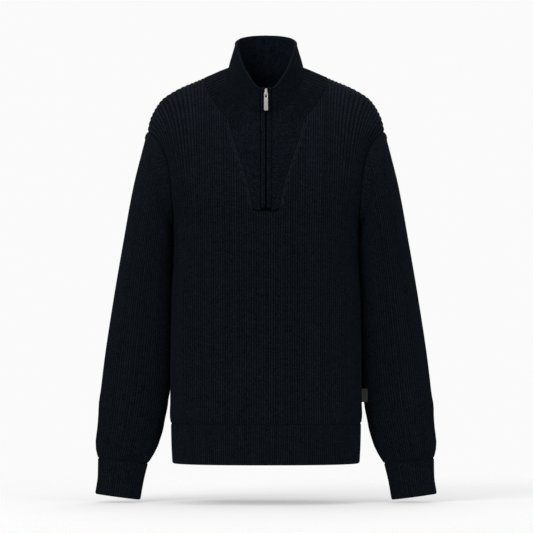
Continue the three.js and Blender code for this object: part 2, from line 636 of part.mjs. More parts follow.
function collarPiece() {
  const outAt = (place, share) => {
    const point = collarPoint(place, share);
    if (share < COLLAR_BASE_ROW) return bodyNormal(point);
    const step = 0.012;
    const [lo, hi] = [Math.max(0, place - step), Math.min(1, place + step)];
    const along = collarPoint(hi, share).sub(collarPoint(lo, share));
    if (place > 1 - step) along.set(-1, 0, 0);
    const up = collarPoint(place, Math.min(1, share + 0.1)).sub(collarPoint(place, share - 0.1));
    return along.cross(up).normalize();
  };
  const face = (c, r) => {
    const [place, hand] = c <= 1 ? [c, 1] : [2 - c, -1];
    const point = collarPoint(place, r);
    const side = place <= COLLAR_SIDE ? FRONT : BACK;
    if (r === 0) point.addScaledVector(offNeck(collarTrack.share(place), side), -NECK_GAP / 2);
    return { point: mirrored(point, hand), out: mirrored(outAt(place, r), hand) };
  };
  return clothWall({
    face, columns: roundNeck(ribPlaces(COLLAR_RIBS)), plain: roundNeck(COLLAR_PLAIN), rows: COLLAR_ROWS,
    thick: (r) => mix(CLOTH, COLLAR_CLOTH, THREE.MathUtils.smoothstep(r, 0.3, 0.7)),
    ribRise: FINE_RIB_RISE * 0.7,
  });
}

// The middle of the front seen from the side: how far the insert's outer face stands forward. Strips
// of the zip all bend at these heights, so that they lie against each other.
const FRONT_BENDS = [
  -251, -238, -222, -206, -190, -174, -158, -142, -126, -112, -100, -90, -81, -70, -59, -48, -36.5,
];
const standY = track([{ z: -81, y: -body.front(-81) }, { z: -60, y: -77 }, { z: -36.5, y: -78 }], "z", "y");
function frontY(z) {
  const i = Math.max(1, FRONT_BENDS.findIndex((bend) => bend >= z));
  const [low, high] = [FRONT_BENDS[i - 1], FRONT_BENDS[i]];
  const at = (bend) => (bend < -81 ? -body.front(bend) : standY(bend));
  return mix(at(low), at(high), (z - low) / (high - low));
}

// A strip that follows the middle of the front from foot to top. rounded lifts its middle.
function frontStrip({ from, to, foot, top, back, face, rounded = 0 }) {
  const wall = new Wall();
  const profile = [0, 0.2, 0.5, 0.8, 1].map((t) => ({ x: mix(from, to, t), y: face + rounded * Math.sin(Math.PI * t) }));
  const rows = [];
  for (const z of [foot, ...FRONT_BENDS.filter((bend) => bend > foot + 1 && bend < top - 1), top]) {
    const y = frontY(z);
    const ring = [...(rounded ? profile : [profile[0], profile.at(-1)]), { x: to, y: back }, { x: from, y: back }];
    rows.push(ring.map((p) => wall.add(new THREE.Vector3(p.x, y - p.y, z))));
    rows.at(-1).push(rows.at(-1)[0]);
  }
  wall.sheet(rows, false);
  const cap = (row, flip) => {
    for (let i = 1; i < row.length - 2; i++) wall.faces.push(...(flip ? [row[0], row[i], row[i + 1]] : [row[0], row[i + 1], row[i]]));
  };
  cap(rows[0], false);
  cap(rows.at(-1), true);
  return wall.geometry();
}

const slitHalf = SLIT / 2;
const welt = (hand) =>
  frontStrip({
    from: hand > 0 ? slitHalf : -slitHalf - WELT_WIDTH, to: hand > 0 ? slitHalf + WELT_WIDTH : -slitHalf,
    foot: WELT_FOOT_Z, top: WELT_TOP_Z, back: -CLOTH, face: WELT_RISE * 0.4, rounded: WELT_RISE * 0.6,
  });

const behind = -CLOTH - SEAM_GAP;
const tape = (hand) =>
  frontStrip({
    from: hand > 0 ? TAPE.inner : -TAPE.outer, to: hand > 0 ? TAPE.outer : -TAPE.inner,
    foot: TAPE.foot_z, top: TAPE.top_z, back: behind - TAPE.thick, face: behind,
  });

const chain = () =>
  frontStrip({
    from: -CHAIN.width / 2, to: CHAIN.width / 2, foot: CHAIN.foot_z, top: CHAIN.top_z,
    back: behind - CHAIN.thick, face: behind,
  });

// Metal pieces are joined from simple bodies.
const solids = await Module();
solids.setup();

function toSolid(geometry) {
  const bare = geometry.clone();
  bare.deleteAttribute("normal");
  bare.deleteAttribute("uv");
  const merged = mergeVertices(bare, 1e-5);
  return new solids.Manifold(
    new solids.Mesh({
      numProp: 3,
      vertProperties: new Float32Array(merged.attributes.position.array),
      triVerts: new Uint32Array(merged.index.array),
    }),
  );
}

function joined(geometries) {
  const whole = geometries.map(toSolid).reduce((a, b) => a.add(b));
  const mesh = whole.getMesh();
  const g = new THREE.BufferGeometry();
  g.setAttribute("position", new THREE.BufferAttribute(mesh.vertProperties, 3));
  g.setIndex(new THREE.BufferAttribute(mesh.triVerts, 1));
  g.computeVertexNormals();
  return g;
}

// A box between two corners.
function block(low, high) {
  const size = high.map((v, i) => v - low[i]);
  const g = new THREE.BoxGeometry(...size);
  return g.translate(...low.map((v, i) => v + size[i] / 2));
}

// A flat outline in x and z, with its front at y and its back thick behind it.
function plateOf(outline, y, thick, window) {
  const shape = new THREE.Shape(outline.map(([x, z]) => new THREE.Vector2(x, z)));
  if (window) shape.holes.push(new THREE.Path(window.map(([x, z]) => new THREE.Vector2(x, z))));
  const g = new THREE.ExtrudeGeometry(shape, { depth: thick, bevelEnabled: false });
  return g.rotateX(Math.PI / 2).translate(0, y + thick, 0);
}

const weltFaceY = frontY(HINGE_Z) - WELT_RISE;
const plateY = weltFaceY - SEAM_GAP - PLATE.thick; // the plate's front
const hingeY = plateY - BRIDGE.inside_deep / 2;

function slider() {
  const [w, t] = [PLATE.wide / 2, PLATE.top_wide / 2];
  const plate = plateOf(
    [[-t, PLATE.top_z], [-w, PLATE.top_z - 3.4], [-w, PLATE.foot_z + 2], [-w + 0.8, PLATE.foot_z],
      [w - 0.8, PLATE.foot_z], [w, PLATE.foot_z + 2], [w, PLATE.top_z - 3.4], [t, PLATE.top_z]],
    plateY, PLATE.thick,
  );
  const coreBack = frontY(HINGE_Z) - behind + CHAIN.thick;
  const core = block([-CORE_WIDE / 2, plateY + 0.2, PLATE.foot_z], [CORE_WIDE / 2, coreBack, PLATE.top_z - 1]);
  const out = plateY - BRIDGE.inside_deep;
  const leg = (z) =>
    block([-BRIDGE.wide / 2, out - BRIDGE.bar, z], [BRIDGE.wide / 2, plateY + 0.2, z + BRIDGE.bar]);
  const arch = block(
    [-BRIDGE.wide / 2, out - BRIDGE.bar, BRIDGE.foot_z], [BRIDGE.wide / 2, out, BRIDGE.top_z],
  );
  return joined([plate, core, leg(BRIDGE.foot_z), leg(BRIDGE.top_z - BRIDGE.bar), arch]);
}

function pull() {
  const [w, c, v] = [PULL.wide / 2, PULL.corner, PULL.window_wide / 2];
  const top = HINGE_Z + PULL.bar / 2;
  const outline = [[-w + c, PULL.foot_z], [-w, PULL.foot_z + c], [-w, top - c], [-w + c, top],
    [w - c, top], [w, top - c], [w, PULL.foot_z + c], [w - c, PULL.foot_z]];
  const low = PULL.window_foot_z;
  const window = [[-v, low], [v, low], [v, top - PULL.bar], [-v, top - PULL.bar]];
  return plateOf(outline, hingeY - PULL.thick / 2, PULL.thick, window);
}

const label = () =>
  block([LABEL.inner_x, LABEL.y, LABEL.foot_z], [LABEL.outer_x, LABEL.y + LABEL.thick, LABEL.top_z]);

// Group and pieces.
const sweater = new THREE.Group();

function addPiece(name, geometry, colour, { roughness = 0.95, metalness = 0 } = {}) {
  const piece = new THREE.Mesh(geometry, new THREE.MeshStandardMaterial({ color: colour, roughness, metalness }));
  piece.name = name;
  sweater.add(piece);
  return piece;
}

addPiece("front_panel", bodyPanel(FRONT), COLOURS.body);
addPiece("back_panel", bodyPanel(BACK), COLOURS.body);
addPiece("hem_band", hemBand(), COLOURS.body);
for (const [word, hand] of [["left", 1], ["right", -1]]) {
  addPiece(`sleeve_${word}`, sleeve(hand), COLOURS.sleeve);
  addPiece(`cuff_${word}`, cuff(hand), COLOURS.sleeve);
  addPiece(`zip_welt_${word}`, welt(hand), COLOURS.collar);
  addPiece(`zip_tape_${word}`, tape(hand), COLOURS.tape);
}
addPiece("collar", collarPiece(), COLOURS.collar);
addPiece("zip_chain", chain(), COLOURS.tape);
addPiece("zip_slider", slider(), COLOURS.metal, { roughness: 0.35, metalness: 0.9 });
addPiece("zip_pull", pull(), COLOURS.metal, { roughness: 0.35, metalness: 0.9 });
addPiece("side_label", label(), COLOURS.label);

export default sweater;
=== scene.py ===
"""Dresses the quarter zip sweater for a picture: rib knit panels, sleeves and collar, zip, pull and label.

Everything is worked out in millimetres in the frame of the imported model, with the front facing -Y
and +Z up, and is turned into metres when a mesh is made.
"""
import logging
import math
from dataclasses import dataclass, field
from enum import Enum
from typing import Sequence

import bpy
import numpy as np
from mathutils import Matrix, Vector


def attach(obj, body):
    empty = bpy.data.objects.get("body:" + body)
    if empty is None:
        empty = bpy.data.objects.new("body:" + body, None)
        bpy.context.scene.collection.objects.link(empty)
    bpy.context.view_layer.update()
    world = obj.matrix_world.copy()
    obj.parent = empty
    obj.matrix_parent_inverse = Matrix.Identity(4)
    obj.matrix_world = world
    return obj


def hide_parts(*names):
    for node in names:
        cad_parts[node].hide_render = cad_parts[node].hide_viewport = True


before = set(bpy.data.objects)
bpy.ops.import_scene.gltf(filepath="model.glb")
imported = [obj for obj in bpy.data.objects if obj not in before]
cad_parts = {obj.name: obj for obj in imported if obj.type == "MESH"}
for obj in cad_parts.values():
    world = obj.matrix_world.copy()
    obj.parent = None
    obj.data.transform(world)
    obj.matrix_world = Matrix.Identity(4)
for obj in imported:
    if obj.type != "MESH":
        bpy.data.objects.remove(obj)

LOG = logging.getLogger("sweater")
MM = 0.001
FRONT, BACK = -1, 1
SPLINE_STEPS = 40  # chords between two points of a spline
SECTION_CHORDS = 48  # chords in a quarter of a level section
ROUND_OFF = 1e-9


# Tables and smooth curves

@dataclass(frozen=True)
class Track:
    """A smooth curve without overshoot through a table: a monotone cubic, level outside the table."""

    at: tuple[float, ...]
    value: tuple[float, ...]

    def __call__(self, v: np.ndarray | float) -> np.ndarray:
        """The curve's value.

        Args:
            v: Where to read the curve, one number or an array of any shape.

        Returns:
            The values, in the shape of v. Each span is the Hermite cubic whose end slopes are the
            harmonic means of the neighbouring spans' slopes.
        """
        x, y = np.array(self.at, float), np.array(self.value, float)
        h, slope = np.diff(x), np.diff(y) / np.diff(x)
        w0, w1 = 2 * h[1:] + h[:-1], h[1:] + 2 * h[:-1]
        same = slope[:-1] * slope[1:] > 0
        with np.errstate(divide="ignore", invalid="ignore"):
            inner = np.where(same, (w0 + w1) / (w0 / slope[:-1] + w1 / slope[1:]), 0)
        tangent = np.concatenate([[slope[0]], inner, [slope[-1]]])
        v = np.clip(np.asarray(v, float), x[0], x[-1])
        i = np.clip(np.searchsorted(x, v, side="right") - 1, 0, len(x) - 2)
        t = (v - x[i]) / h[i]
        t2, t3 = t * t, t * t * t
        return ((2 * t3 - 3 * t2 + 1) * y[i] + (t3 - 2 * t2 + t) * h[i] * tangent[i]
                + (3 * t2 - 2 * t3) * y[i + 1] + (t3 - t2) * h[i] * tangent[i + 1])


def tracks(names: str, rows: Sequence[Sequence[float]]) -> dict[str, Track]:
    """Curves through the columns of a table, over its first column.

    Args:
        names: The names of the second and later columns, with spaces between.
        rows: The table's rows.

    Returns:
        One curve for each named column.
    """
    columns = list(zip(*rows))
    return {name: Track(columns[0], columns[i + 1]) for i, name in enumerate(names.split())}


def mix(a: np.ndarray | float, b: np.ndarray | float, t: np.ndarray | float) -> np.ndarray | float:
    """The value a share t of the way from a to b."""
    return a + (b - a) * t


def smooth(v: np.ndarray, low: float, high: float) -> np.ndarray:
    """A soft step from 0 at low to 1 at high."""
    t = np.clip((v - low) / (high - low), 0, 1)
    return t * t * (3 - 2 * t)


def unit(v: np.ndarray) -> np.ndarray:
    """Directions of length 1."""
    return v / np.maximum(np.linalg.norm(v, axis=-1, keepdims=True), ROUND_OFF)


def lengths(path: np.ndarray) -> np.ndarray:
    """How far each point of a path lies from its start, along the path."""
    return np.concatenate([[0], np.cumsum(np.linalg.norm(np.diff(path, axis=0), axis=1))])


class Seam:
    """A curve seen from the front through a list of points: a centripetal Catmull-Rom spline."""

    def __init__(self, points: Sequence[tuple[float, float]]) -> None:
        """Samples the spline.

        Args:
            points: The x and z of the points that it passes through.
        """
        p = np.array(points, float)
        p = np.vstack([2 * p[0] - p[1], p, 2 * p[-1] - p[-2]])
        p0, p1, p2, p3 = (p[i:len(p) - 3 + i][:, None, :] for i in range(4))
        d0, d1, d2 = (np.sqrt(np.linalg.norm(b - a, axis=-1, keepdims=True))
                      for a, b in ((p0, p1), (p1, p2), (p2, p3)))
        t1 = ((p1 - p0) / d0 - (p2 - p0) / (d0 + d1) + (p2 - p1) / d1) * d1
        t2 = ((p2 - p1) / d1 - (p3 - p1) / (d1 + d2) + (p3 - p2) / d2) * d1
        t = np.linspace(0, 1, SPLINE_STEPS + 1)[None, :, None]
        line = p1 + t1 * t + (-3 * p1 + 3 * p2 - 2 * t1 - t2) * t**2 + (2 * p1 - 2 * p2 + t1 + t2) * t**3
        self.line = np.vstack([line[:, :-1].reshape(-1, 2), line[-1, -1]])
        run = lengths(self.line)
        self.share = run / run[-1]

    def at(self, share: np.ndarray) -> tuple[np.ndarray, np.ndarray]:
        """x and z at a share of the seam's length."""
        return np.interp(share, self.share, self.line[:, 0]), np.interp(share, self.share, self.line[:, 1])


# Meshes

QUAD = ((slice(None, -1), slice(None, -1)), (slice(None, -1), slice(1, None)),
        (slice(1, None), slice(1, None)), (slice(1, None), slice(None, -1)))  # a grid's four corners


class KnitWall:
    """Collects grids of points into one closed wall, with thread coordinates for the knit."""

    def __init__(self) -> None:
        """Starts empty."""
        self.points: list[np.ndarray] = []
        self.count = 0
        self.faces: list[list[int]] = []
        self.threads: list[np.ndarray] = []
        self.insides: list[np.ndarray] = []

    def add(self, points: np.ndarray) -> np.ndarray:
        """Adds points.

        Args:
            points: Points in millimetres, with the coordinate on the last axis.

        Returns:
            Their numbers, in the shape of the grid.
        """
        flat = points.reshape(-1, 3)
        ids = np.arange(self.count, self.count + len(flat)).reshape(points.shape[:-1])
        self.points.append(flat)
        self.count += len(flat)
        return ids

    def cover(self, corners: Sequence[np.ndarray], threads: Sequence[np.ndarray], flip: bool,
              inside: bool = False) -> None:
        """Adds faces.

        Args:
            corners: Three or four arrays of point numbers, one for each corner in turn.
            threads: The thread coordinates at those corners, with the pair on the last axis.
            flip: Whether the faces look the other way.
            inside: Whether they belong to the plain inside.
        """
        ids = np.stack([c.ravel() for c in corners], axis=1)
        at = np.stack([t.reshape(-1, 2) for t in threads], axis=1)
        if flip:
            ids, at = ids[:, ::-1], at[:, ::-1]
        self.faces.extend(ids.tolist())
        self.threads.append(at.reshape(-1, 2))
        self.insides.append(np.full(len(ids), inside))

    def sheet(self, ids: np.ndarray, at: np.ndarray, flip: bool, inside: bool = False) -> None:
        """Adds a grid of quads that look along columns x rows.

        Args:
            ids: Point numbers, rows of columns.
            at: Thread coordinates of the same grid.
            flip: Whether the quads look the other way.
            inside: Whether they belong to the plain inside.
        """
        self.cover([ids[q] for q in QUAD], [at[q] for q in QUAD], flip, inside)

    def rim(self, fine: np.ndarray, coarse: np.ndarray, at: np.ndarray, flip: bool) -> None:
        """Closes an outer line to an inner one that has a whole number of times fewer points.

        Args:
            fine: Point numbers of the outer line.
            coarse: Point numbers of the inner line.
            at: Thread coordinates of the outer line.
            flip: Whether the faces look the other way.
        """
        step = (len(fine) - 1) // (len(coarse) - 1)
        j, m = np.arange(len(fine) - 1), np.arange(len(coarse) - 1)
        self.cover([fine[j], coarse[j // step], fine[j + 1]], [at[j], at[j], at[j + 1]], flip)
        last = (m + 1) * step
        self.cover([coarse[m], coarse[m + 1], fine[last]], [at[m * step], at[last], at[last]], flip)

    def piece(self, name: str, materials: Sequence[bpy.types.Material]) -> bpy.types.Object:
        """Makes the mesh and its object.

        Args:
            name: The piece's name.
            materials: The finish of the outside, and if there is a second one, of the inside.

        Returns:
            The object, at the origin, in metres.
        """
        mesh = bpy.data.meshes.new(name)
        mesh.from_pydata((np.vstack(self.points) * MM).tolist(), [], self.faces)
        layer = mesh.uv_layers.new(name="threads")
        layer.data.foreach_set("uv", np.vstack(self.threads).astype(np.float32).ravel())
        for material in materials:
            mesh.materials.append(material)
        if len(materials) > 1:
            mesh.polygons.foreach_set("material_index", np.concatenate(self.insides).astype(np.int32))
        mesh.polygons.foreach_set("use_smooth", np.ones(len(mesh.polygons), bool))
        mesh.update()
        made = bpy.data.objects.new(name, mesh)
        bpy.context.scene.collection.objects.link(made)
        return made


def facing(points: np.ndarray, round_it: bool = False) -> np.ndarray:
    """The way out of a grid's surface: the cross product of the steps along columns and rows.

    Args:
        points: A grid of points, rows of columns.
        round_it: Whether the last column meets the first one again.

    Returns:
        Directions of length 1, one for each point.
    """
    if round_it:
        wide = np.concatenate([points[:, -3:-1], points, points[:, 1:3]], axis=1)
        return unit(np.cross(np.gradient(wide, axis=1), np.gradient(wide, axis=0)))[:, 2:-2]
    return unit(np.cross(np.gradient(points, axis=1), np.gradient(points, axis=0)))


def runs(points: np.ndarray, axis: int) -> tuple[np.ndarray, np.ndarray]:
    """How far each point of a grid lies from the first and from the last line, along the cloth."""
    step = np.linalg.norm(np.diff(points, axis=axis), axis=-1)
    first = np.zeros(points.shape[:-1])
    if axis == 0:
        first[1:] = np.cumsum(step, axis=0)
        return first, first[-1:] - first
    first[:, 1:] = np.cumsum(step, axis=1)
    return first, first[:, -1:] - first


@dataclass(frozen=True)
class Crease:
    """A soft trough or ridge, seen from the front: from one point to another, in x and z."""

    start: tuple[float, float]
    end: tuple[float, float]
    deep: float
    wide: float
    side: int = FRONT
    past: float = 6.0  # how far round the side seam it may reach

    def lift(self, points: np.ndarray) -> np.ndarray:
        """How far points rise, less than 0 in a trough: a bell curve across, fading at both ends.

        Args:
            points: Points of the cloth's face.

        Returns:
            The rise of each point along the way out.
        """
        a, b = np.array(self.start), np.array(self.end)
        at = points[..., [0, 2]] - a
        along = at @ (b - a) / ((b - a) @ (b - a))
        away = np.linalg.norm(at - np.clip(along, 0, 1)[..., None] * (b - a), axis=-1)
        ends = np.sin(np.pi * np.clip(mix(0.12, 0.88, along), 0, 1))
        here = np.where(points[..., 1] * self.side > -self.past, 1.0, 0.0)
        return -self.deep * np.exp(-0.5 * (away / self.wide) ** 2) * ends * here


@dataclass(frozen=True)
class RibStitch:
    """How a rib is knitted: how far its crest stands over its valley and how many points cross it."""

    rise: float
    points: int = 6
    power: float = 0.6
    sunk: float = 0.45  # the share of the rise by which the valley lies under the plain form

    def lift(self, columns: int) -> np.ndarray:
        """The rise of each column: a wide round crest and a narrow valley, a sine to a power below 1."""
        phase = (np.arange(columns) % self.points) / self.points
        return self.rise * (np.sin(np.pi * phase) ** self.power - self.sunk)


EDGE_FADE = (-0.6, 2.4)  # millimetres from an edge over which the ribs rise to their height
EDGE_ROUND = (1.15, 1.25)  # how far an edge rolls back, and over what width


def knitted(
    wall: KnitWall, base: np.ndarray, stitch: RibStitch, thick: np.ndarray | float, course: np.ndarray,
    edge: np.ndarray, *, handed: int = 1, round_it: bool = False, creases: Sequence[Crease] = (),
    extra: np.ndarray | float = 0.0, first_rib: int = 0, relief: np.ndarray | float = 1.0,
) -> dict[str, np.ndarray]:
    """Adds the ribbed outside and the plain inside of a grid of cloth to a wall, without its rims.

    The outside stands off the base by the rib's profile, fades to a rounded edge, and takes the
    creases. The inside lies one thickness behind the base.

    Args:
        wall: The wall that takes the points.
        base: The cloth's face without ribs, rows of columns, with a whole number of ribs across.
        stitch: The rib.
        thick: The cloth's thickness, one number or one for each row.
        course: How far each point lies along its rib, for the stitches.
        edge: How far each point lies from a free or sewn edge.
        handed: 1 where columns x rows looks out, or -1.
        round_it: Whether the last column is the first one again.
        creases: Troughs and ridges.
        extra: A further rise of each point.
        first_rib: The number of the first rib, for the thread coordinates.
        relief: The share of the rib's rise at each point.

    Returns:
        The point numbers of both sides and the thread coordinates.
    """
    out = facing(base, round_it) * handed
    across = stitch.points
    full = smooth(edge, *EDGE_FADE)
    ease = EDGE_ROUND[0] * np.exp(-((edge / EDGE_ROUND[1]) ** 2))
    soft = sum((crease.lift(base) for crease in creases), np.zeros(base.shape[:-1]))
    rise = stitch.lift(base.shape[1])[None, :] * full * relief - ease + soft + extra
    face = base + out * rise[..., None]
    wall_thick = np.asarray(thick, float).reshape(-1, 1, 1)
    back = (base + out * (soft + extra)[..., None] - out * wall_thick)[:, ::across]
    rib = first_rib + np.arange(base.shape[1]) / across
    at = np.stack([np.broadcast_to(rib, course.shape), course], axis=-1)
    if round_it:
        outer, inner = wall.add(face[:, :-1]), wall.add(back[:, :-1])
        outer = np.concatenate([outer, outer[:, :1]], axis=1)
        inner = np.concatenate([inner, inner[:, :1]], axis=1)
    else:
        outer, inner = wall.add(face), wall.add(back)
    return {"outer": outer, "inner": inner, "at": at}


def close_rows(wall: KnitWall, grid: dict[str, np.ndarray], flip: bool, first: bool = True,
               last: bool = True) -> None:
    """Lays the sheets of a knitted grid and closes its first and last rows.

    Args:
        wall: The wall that holds the grid.
        grid: What knitted gave.
        flip: Whether the faces look the other way.
        first: Whether the first row is an edge.
        last: Whether the last row is an edge.
    """
    step = (grid["outer"].shape[1] - 1) // (grid["inner"].shape[1] - 1)
    wall.sheet(grid["outer"], grid["at"], flip)
    wall.sheet(grid["inner"], grid["at"][:, ::step], not flip, inside=True)
    if first:
        wall.rim(grid["outer"][0], grid["inner"][0], grid["at"][0], flip)
    if last:
        wall.rim(grid["outer"][-1], grid["inner"][-1], grid["at"][-1], not flip)


def close_sides(wall: KnitWall, grid: dict[str, np.ndarray], flip: bool) -> None:
    """Closes the first and last columns of a knitted grid."""
    wall.rim(grid["outer"][:, 0], grid["inner"][:, 0], grid["at"][:, 0], not flip)
    wall.rim(grid["outer"][:, -1], grid["inner"][:, -1], grid["at"][:, -1], flip)


def skin(wall: KnitWall, rings: np.ndarray, at: np.ndarray, flip: bool = False) -> None:
    """Adds a closed skin over rings of points, with the first and the last ring drawn to a point.

    Args:
        wall: The wall that takes it.
        rings: Points, a ring in each row, the last one before the first.
        at: Thread coordinates, with one more column than the rings.
        flip: Whether round x along looks in.
    """
    ids, poles = wall.add(rings[1:-1]), wall.add(rings[[0, -1]].mean(axis=1))
    ids = np.concatenate([ids, ids[:, :1]], axis=1)
    wall.sheet(ids, at[1:-1], flip)
    one, two = np.full(rings.shape[1], poles[0]), np.full(rings.shape[1], poles[1])
    wall.cover([one, ids[0, 1:], ids[0, :-1]], [at[0, :-1], at[1, 1:], at[1, :-1]], flip)
    wall.cover([ids[-1, :-1], ids[-1, 1:], two], [at[-2, :-1], at[-2, 1:], at[-1, :-1]], flip)


def tube(path: np.ndarray, radius: np.ndarray, sides: int, across: Sequence[float] | None = None,
         wide: float = 1.0) -> tuple[np.ndarray, np.ndarray]:
    """A round or oval section carried along a path.

    Args:
        path: Points along the middle.
        radius: The radius at each point.
        sides: Points round the section.
        across: A direction that one axis of the section keeps, or None for any.
        wide: How many times wider the section is along that direction.

    Returns:
        Rings of points, and thread coordinates of one more column.
    """
    along = unit(np.gradient(path, axis=0))
    if across is None:
        side = unit(np.cross(along, np.where(np.abs(along[:, 1:2]) > 0.9, [[1.0, 0, 0]], [[0, 1.0, 0]])))
    else:
        side = np.broadcast_to(np.array(across, float), path.shape)
    other = np.cross(along, side)
    turn = np.linspace(0, 2 * np.pi, sides + 1)
    cosine, sine = np.cos(turn[:-1])[None, :, None], np.sin(turn[:-1])[None, :, None]
    ring = side[:, None] * cosine * wide + other[:, None] * sine
    run = lengths(path)
    at = np.stack(np.broadcast_arrays((turn / 2 / np.pi)[None, :], run[:, None]), axis=-1)
    return path[:, None] + ring * radius[:, None, None], at


def cord(wall: KnitWall, path: np.ndarray, radius: float, pitch: float = 0.0, sides: int = 7) -> None:
    """Adds a round thread along a path, thicker and thinner once in each pitch.

    Args:
        wall: The wall that takes it.
        path: Points along the middle.
        radius: The thread's radius.
        pitch: The length of a stitch, or 0 for a plain thread.
        sides: Points round the thread.
    """
    run = lengths(path)
    size = radius * (1 + (0.22 * np.sin(2 * np.pi * run / pitch) if pitch else np.zeros(len(run))))
    rings, at = tube(path, size, sides)
    skin(wall, rings, at)


def evenly(path: np.ndarray, step: float) -> np.ndarray:
    """The same path with a point at every step of its length."""
    run = lengths(path)
    want = np.linspace(0, run[-1], max(4, int(run[-1] / step)))
    return np.stack([np.interp(want, run, path[:, k]) for k in range(3)], axis=-1)


def bar(wall: KnitWall, x: np.ndarray, y: np.ndarray, z: np.ndarray, at: np.ndarray | None = None) -> None:
    """Adds an upright strip over level sections, closed flat at both ends.

    Args:
        wall: The wall that takes it.
        x: The sections' x, one section in each row, or one row for all.
        y: Their y, one section in each row.
        z: Their heights.
        at: Thread coordinates, with two more rows and one more column, or None for zeros.
    """
    rings = np.stack(np.broadcast_arrays(x, y, z[:, None]), axis=-1)
    rings = np.concatenate([rings[:1], rings, rings[-1:]])
    skin(wall, rings, np.zeros((len(rings), y.shape[1] + 1, 2)) if at is None else at)


# The form that all the cloth pieces share

BODY = tracks("width front back square", [
    (-691, 163.2, 112, 112, 2.5), (-621, 165.6, 114, 112, 2.5), (-581, 167, 114, 110, 2.5),
    (-493, 166.5, 112, 104, 2.5), (-406, 165.6, 115, 102, 2.5), (-318, 162.2, 120, 110, 2.45),
    (-292, 162.5, 121, 113, 2.45), (-260, 168, 120, 116, 2.4), (-231, 178, 118, 118, 2.4),
    (-200, 186, 113, 119, 2.35), (-173, 191, 107, 118, 2.3), (-141, 199, 99, 115, 2.25),
    (-111, 206.5, 89, 109, 2.2), (-91, 202.5, 80, 104, 2.15), (-73.5, 194.5, 70, 97, 2.1),
    (-56, 182, 60, 91, 2.1), (-38.5, 156, 49, 83, 2.05), (-21, 116, 34, 76, 2),
    (-10, 90, 25, 72, 2), (1, 66, 16, 60, 2),
])
HEM_Z, BAND_TOP_Z, UNDERARM_Z, FOOT_Z, TIP_Z = -691.0, -621.0, -292.0, -231.0, -111.0
NECK_RIB, TIP_RIB = 0.47, 0.77
ARMHOLE_X = Track((-292, -262, -231, -199.5, -173, -154, -141, -130, -119, -111),
                  (162.5, 161.5, 164, 166.3, 170, 174.5, 179.5, 186, 196, 206.5))
NECK_SEAM = {
    FRONT: Seam([(0, -251), (17, -251), (22.2, -246), (25.5, -232), (31, -206), (38.5, -181), (47.5, -154),
                 (56, -129), (63, -105), (66.7, -91), (71, -85.5), (80.2, -76), (89.8, -62.5), (99.6, -47),
                 (104.5, -36), (107.4, -26), (108.3, -17.6)]),
    BACK: Seam([(0, -42), (26, -41), (62, -35.5), (92, -25.5), (108.3, -17.6)]),
}
NECK_SHARE = {
    FRONT: Track(
        (0, 0.07, 0.09, 0.105, 0.128, 0.16, 0.2, 0.235, 0.265, 0.282, 0.335, 0.378, 0.42, 0.455, 0.47),
        (0, 0.061, 0.089, 0.142, 0.24, 0.337, 0.442, 0.54, 0.632, 0.686, 0.762, 0.823, 0.892, 0.965, 1)),
    BACK: Track((0, 0.108, 0.255, 0.385, 0.47), (0, 0.23, 0.556, 0.835, 1)),
}
SHOULDER_Z = Track((0.47, 0.56, 0.62, 0.67, 0.72, 0.77), (-17.6, -32, -48, -65, -85, -111))
CHEST_Z = Track((0, 0.45, 0.64, 0.77), (-300, -300, -276, -231))
FOOT_RIB_Z = Track((0.77, 0.83, 0.88, 0.94, 1), (-231, -254, -269, -283, -292))


def on_body(x: np.ndarray, z: np.ndarray, side: int) -> np.ndarray:
    """The body's outer face over points seen from the front.

    Args:
        x: How far to the wearer's left.
        z: Heights.
        side: FRONT or BACK.

    Returns:
        Points on level sections |x / width|^n + |y / depth|^n = 1, whose width, depth and n come
        from the table of the body.
    """
    x, z = np.broadcast_arrays(np.asarray(x, float), np.asarray(z, float))
    n, depth = BODY["square"](z), BODY["front" if side == FRONT else "back"](z)
    share = np.minimum(1, np.abs(x) / BODY["width"](z))
    y = np.maximum(depth * (1 - share**n) ** (1 / n), 0.1)
    return np.stack([x, side * y, z], axis=-1)


def body_facing(p: np.ndarray) -> np.ndarray:
    """The way out of the body's face: the gradient of the section formula by steps of half a millimetre."""
    def level(q: np.ndarray) -> np.ndarray:
        """The section formula's left side."""
        n = BODY["square"](q[..., 2])
        depth = np.where(q[..., 1] < 0, BODY["front"](q[..., 2]), BODY["back"](q[..., 2]))
        return (np.abs(q[..., 0]) / BODY["width"](q[..., 2])) ** n + (np.abs(q[..., 1]) / depth) ** n
    return unit(np.stack([level(p + step) - level(p - step) for step in np.eye(3) * 0.5], axis=-1))


def round_x(share: np.ndarray, z: np.ndarray, side: int) -> np.ndarray:
    """x on a level section at a share of its length from the middle to the side.

    Args:
        share: The share of the length.
        z: Heights.
        side: FRONT or BACK.

    Returns:
        x, from a polyline whose corners are at even angles.
    """
    share, z = np.broadcast_arrays(np.asarray(share, float), np.asarray(z, float))
    shape = share.shape
    share, z = np.minimum(share.ravel(), 1)[:, None], z.ravel()[:, None]
    angle = np.linspace(0, np.pi / 2, SECTION_CHORDS + 1)[None]
    n = BODY["square"](z)
    x = BODY["width"](z) * np.sin(angle) ** (2 / n)
    y = BODY["front" if side == FRONT else "back"](z) * np.cos(angle) ** (2 / n)
    run = np.concatenate([np.zeros((len(x), 1)), np.cumsum(np.hypot(np.diff(x), np.diff(y)), axis=1)], axis=1)
    want = share * run[:, -1:]
    i = np.clip((run < want).sum(axis=1, keepdims=True), 1, SECTION_CHORDS)
    a, b = np.take_along_axis(run, i - 1, 1), np.take_along_axis(run, i, 1)
    xa, xb = np.take_along_axis(x, i - 1, 1), np.take_along_axis(x, i, 1)
    return mix(xa, xb, (want - a) / np.maximum(b - a, ROUND_OFF)).reshape(shape)


